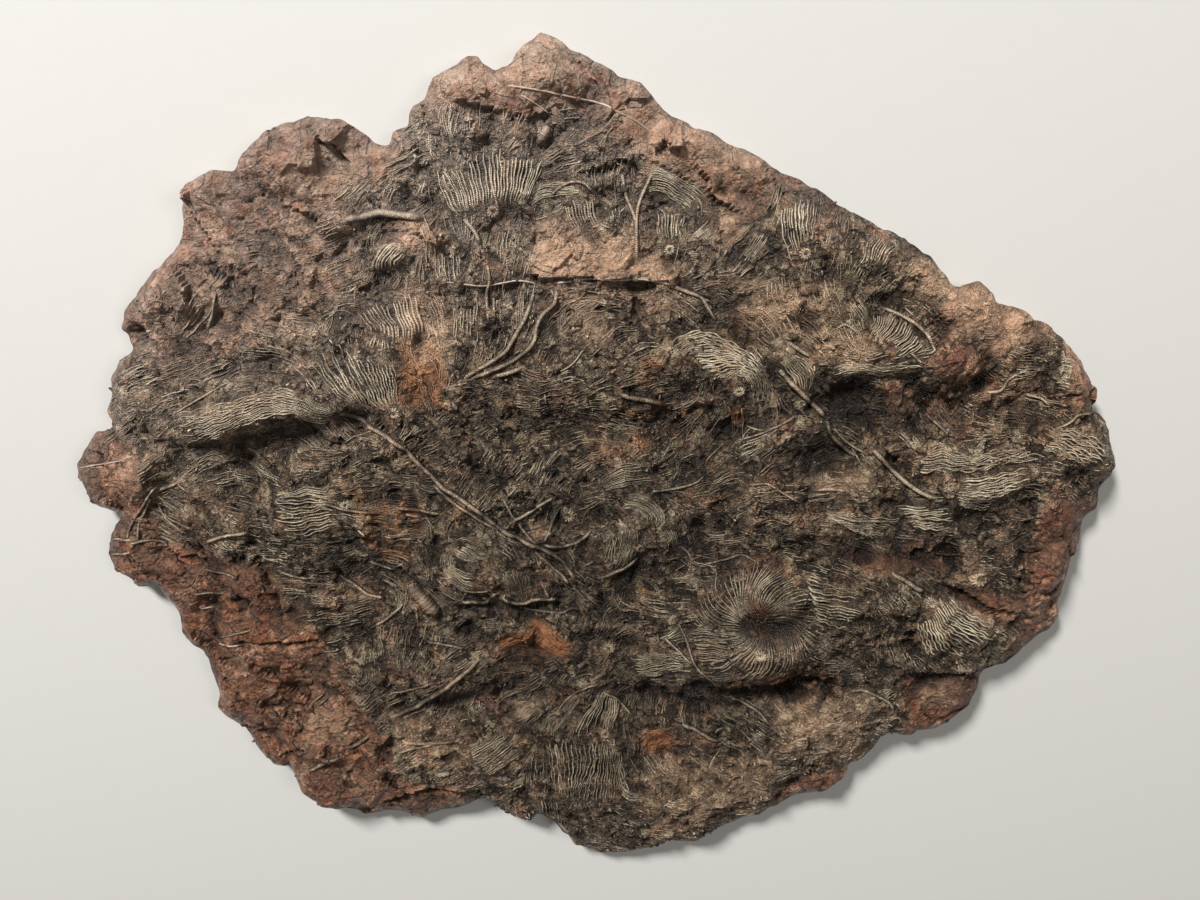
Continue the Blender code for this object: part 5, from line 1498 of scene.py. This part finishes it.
def fill_gaps(land, strands, crowns, dice):
    """Short bundles where the stone carries fossils but no crown lies, running as their neighbours do."""
    covered = np.zeros(land.fine_shape)
    guides = []
    for lines in crowns:
        window, patch = land.cover(lines, 0.007)
        covered[window] = np.maximum(covered[window], np.clip(patch * 1.3, 0, 1))
        for line in lines[:: max(1, len(lines) // 4)]:
            ahead = line[-1] - line[0]
            guides.append((*line[len(line) // 2], math.atan2(ahead[1], ahead[0])))
    for x, y, angle in FLOW:
        guides.append((*land.settle([(x, y)])[0], math.radians(angle)))
    land.find_flow(guides)
    land.crowned = covered
    for x in np.arange(land.low[0], -land.low[0], BUNDLE_SPACING):
        for y in np.arange(land.low[1], -land.low[1], BUNDLE_SPACING):
            place = np.array((x, y)) + dice.uniform(-0.5, 0.5, 2) * BUNDLE_SPACING
            roll = dice.uniform(0.0, 1.0, 3)
            own = np.random.default_rng(int(dice.integers(1 << 30)))
            if land.sample(land.rim, place) < 0.004 or land.sample(covered, place) > 0.75:
                continue
            if land.sample(land.zones["bare"], place) > 0.35 + 0.3 * roll[0]:
                continue
            angle = 0.5 * math.atan2(land.sample(land.flow[1], place), land.sample(land.flow[0], place))
            angle += own.normal(0.0, 0.42) if roll[1] > 0.2 else own.uniform(0, 3.14)
            grit = land.sample(land.zones["grit"], place)
            tone = 0.30 + 0.2 * grit + own.normal(0, 0.13)
            length = own.uniform(0.026, 0.072) * (1.0 - 0.45 * grit)
            gap = own.uniform(0.0032, 0.0048)
            lay_drift(land, strands, place, angle, length, own.integers(4, 10), gap, tone, own)


def place_all():
    """The land, and on it the lines of loose arms, crowns, stems, stubs and veins."""
    dice = np.random.default_rng(SEED)
    land = Land()
    crowns = []
    for count, rise, wave, fork, tone, guides in CROWNS:
        crowns.append(crown_lines(land, count, wave, fork, guides, dice))
    centre, inner, outer, arms, ring_rise, sweep = RING
    ring = []
    for number in range(arms):
        turn = TURN * (number + dice.normal(0, 0.2)) / arms
        reach = np.linspace(inner + dice.uniform(0, 8), outer * dice.uniform(0.86, 1.04), 18)
        share = (reach - inner) / (outer - inner)
        heading = turn - math.radians(sweep) * share + 0.05 * np.sin(share * 7 + turn * 3)
        points = np.array(centre) + np.column_stack([np.cos(heading), np.sin(heading)]) * reach[:, None]
        ring.append(land.settle(points))
    ring = np.array(ring)

    loose, arms, stems, thick, veins = (Strands() for _ in range(5))
    fill_gaps(land, loose, crowns + [ring], dice)
    lay_crown(land, arms, ring, ring_rise * 0.4, 0.34, dice)
    for lines, (count, rise, wave, fork, tone, guides) in zip(crowns, CROWNS):
        lay_crown(land, arms, lines, rise, tone, dice)
    for middle, radius, tone in CUPS:
        spot = land.settle([middle])[0]
        radius = radius * MM
        angles = dice.uniform(0, WAVE_TURN) + np.arange(12) / 12 * TURN
        reach = np.linspace(0.15, 1.0, 6) * radius
        rays = [spot + np.outer(reach, (math.cos(angle), math.sin(angle))) for angle in angles]
        land.raise_bed(np.array(rays), radius * 0.35, 0.005)
        for ray in rays:
            lay(land, arms, ray, 0.26 * radius, tone + dice.normal(0, 0.05), 0.1)
    for radius, tone, line in STEMS:
        line = land.settle(smooth_line(line, 30))
        length = step_lengths(line).sum()
        line = smooth_line(line[::3] if len(line) > 9 else line, max(5, int(length / STEM_STEP)))
        lay(land, stems, line, radius * MM, tone, 0.42, 1.2, 0.3)
    for half, radius, middle, angle, tone in STUBS:
        middle = land.settle([middle])[0]
        ahead = np.array((math.cos(math.radians(angle)), math.sin(math.radians(angle))))
        line = middle + np.linspace(-half, half, 14)[:, None] * MM * ahead
        lay(land, thick, line, radius * MM, tone, 0.10, 0.4, 0.1)
    for width, line in VEINS:
        line = land.settle(smooth_line(line, 40))
        lay(land, veins, line, width * MM / 2.0, 0.8, 0.05, 1.5, 0.4)
    return land, loose, arms, stems, thick, veins


land, loose, arms, stems, thick, veins = place_all()
hollow = land.hollows()
stone_face = stone_finish()
arm_face = arm_finish("sea_lily_arms", SLATE, LICHEN)
stem_face = arm_finish("sea_lily_stems", UMBER, PALE_STEM, 0.0026)
stub_face = arm_finish("thick_sea_lily_stem", UMBER, PALE_STEM, 0.0052)
vein_face = vein_finish()
tube = tube_tree()

slab = slab_stone(land, stone_face)
slab_places = places_of(slab.data)
rim = land.sample(land.rim, slab_places)
level = slab_places[:, 2]
top = (level > WALL_TOP) & (level < CEILING - 0.005) & (rim > SCRAP_MARGIN)
bare = land.sample(land.zones["bare"], slab_places)
grit = land.sample(land.zones["grit"], slab_places)
crowned = np.clip(land.sample(land.crowned, slab_places) * 1.3, 0.0, 1.0)
put_layer(slab.data, "litter", ((1.0 - bare) * 0.35 + grit + 0.02) * top)
clumps = np.clip(0.5 + 1.3 * lumps(slab_places[:, :2], 0.045, 61), 0.12, 1.0)
rubble = ((1.0 - bare) * (0.75 + 0.4 * grit) + bare * 0.3) * (1.0 - 0.92 * crowned) * clumps * top
put_layer(slab.data, "rubble", rubble)
put_layer(slab.data, "blocks", rubble * (rim > BLOCK_MARGIN))
put_layer(slab.data, "tone", np.full(len(slab_places), 0.45))
ball = "GeometryNodeMeshIcoSphere"
rod = "GeometryNodeMeshCylinder"
scrap_tree = scatter_tree("plates_and_rods_on_stone", [
    (rod, {"Vertices": 7, "Radius": 1.0, "Depth": 0.6}, (1.0, 1.0, 1.0)),
    (rod, {"Vertices": 6, "Radius": 0.6, "Depth": 4.2}, (1.0, 1.0, 1.0)),
    (ball, {"Radius": 0.9, "Subdivisions": 1}, (1.3, 0.9, 0.7))], 3.14, True)
rubble_tree = scatter_tree("broken_chips_on_stone", [
    (ball, {"Radius": 1.0, "Subdivisions": 1}, (1.2, 0.8, 0.42)),
    (ball, {"Radius": 1.0, "Subdivisions": 1}, (1.7, 0.6, 0.40)),
    (ball, {"Radius": 1.0, "Subdivisions": 1}, (0.9, 0.8, 0.55))], 0.45, False)
pieces = [slab]
scattered = (
    ("loose_scraps", scrap_tree, "litter", 6000.0, 0.0009, 0.0030, 12, arm_face),
    ("small_stone_chips", rubble_tree, "rubble", 9000.0, 0.0014, 0.0048, 31, stone_face),
    ("large_stone_chips", rubble_tree, "blocks", 3000.0, 0.0035, 0.0115, 32, stone_face))
for name, tree, layer, most, smallest, largest, seed, face in scattered:
    pieces.append(through_tree(name, slab.data.copy(), tree, {
        "Map": layer, "Most per Square Metre": most, "Smallest": smallest, "Largest": largest, "Seed": seed,
        "Material": face}))
half_loose, other_loose = loose.shared(2)
half_arms, other_arms = arms.shared(2)
# Each: its lines, how far apart and how deep its plates are, how many sides it has, and its finish
rounded = (
    ("loose_arms_1", half_loose, 0.0064, 0.14, 4, arm_face),
    ("loose_arms_2", other_loose, 0.0064, 0.14, 4, arm_face),
    ("crown_arms_1", half_arms, 0.0046, 0.12, 5, arm_face),
    ("crown_arms_2", other_arms, 0.0046, 0.12, 5, arm_face),
    ("stems", stems, 0.0014, 0.13, 9, stem_face),
    ("thick_stem_stubs", thick, 0.0026, 0.20, 16, stub_face),
    ("calcite_veins", veins, 0.0045, 0.25, 5, vein_face))
for name, lines, pitch, depth, sides, face in rounded:
    pieces.append(tubes(name, lines, tube, pitch, depth, sides, face))
for piece in pieces:
    finish_piece(piece, land, hollow)
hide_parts("crinoid_slab")

# ---------------------------------------------------------------- floor, light and camera


def floor_finish():
    """A pale, faintly clouded floor."""
    paint = Finish("pale_floor")
    cloud = paint.cloud(30.0, 4.0)
    colour = paint.mix(cloud * 0.15, (0.71, 0.70, 0.67, 1.0), (0.65, 0.64, 0.60, 1.0))
    return paint.finish(colour, 0.8 + cloud * 0.05, cloud, 0.1)


mesh = bpy.data.meshes.new("floor")
mesh.from_pydata([(-4, -4, 0), (4, -4, 0), (4, 4, 0), (-4, 4, 0)], [], [(0, 1, 2, 3)])
mesh.materials.append(floor_finish())
placed("floor", mesh)


def soft_light(name, place, aim, size, power, colour):
    """A round lamp aimed at a place."""
    lamp = bpy.data.lights.new(name, "AREA")
    lamp.shape = "DISK"
    lamp.size = size
    lamp.energy = power
    lamp.color = colour
    holder = placed(name, lamp)
    holder.location = place
    holder.rotation_euler = (Vector(aim) - Vector(place)).to_track_quat("-Z", "Y").to_euler()


soft_light("main_light", (-3.4, 6.2, 4.6), (0.0, 0.1, 0.0), 1.6, 1040.0, (1.0, 0.995, 0.975))
soft_light("side_light", (3.6, 1.0, 4.4), (0.1, 0.0, 0.0), 2.0, 60.0, (1.0, 0.965, 0.92))
world = bpy.data.worlds.new("room")
bpy.context.scene.world = world
world.use_nodes = True
glow = world.node_tree.nodes["Background"].inputs
glow["Color"].default_value = (1.0, 0.985, 0.96, 1.0)
glow["Strength"].default_value = 0.12
bpy.context.scene.view_settings.view_transform = "Standard"

PITCH = math.radians(18.0)
ROLL = math.radians(1.6)
right = Vector((1.0, 0.0, 0.0))
ahead = Vector((0.0, -math.sin(PITCH), -math.cos(PITCH)))
up = Vector((0.0, math.cos(PITCH), -math.sin(PITCH)))
side = right * math.cos(ROLL) - up * math.sin(ROLL)
upright = right * math.sin(ROLL) + up * math.cos(ROLL)
lens = bpy.data.cameras.new("camera")
lens.lens = 24.96
lens.sensor_width = 36.0
lens.clip_start = 0.01
camera = placed("camera", lens)
turn = [[side[i], upright[i], -ahead[i]] for i in range(3)]
camera.matrix_world = Matrix(turn).to_4x4()
camera.location = (SHEET_MIDDLE[0], SHEET_MIDDLE[1], SHEET_LEVEL + SHEET_REACH)
bpy.context.scene.camera = camera
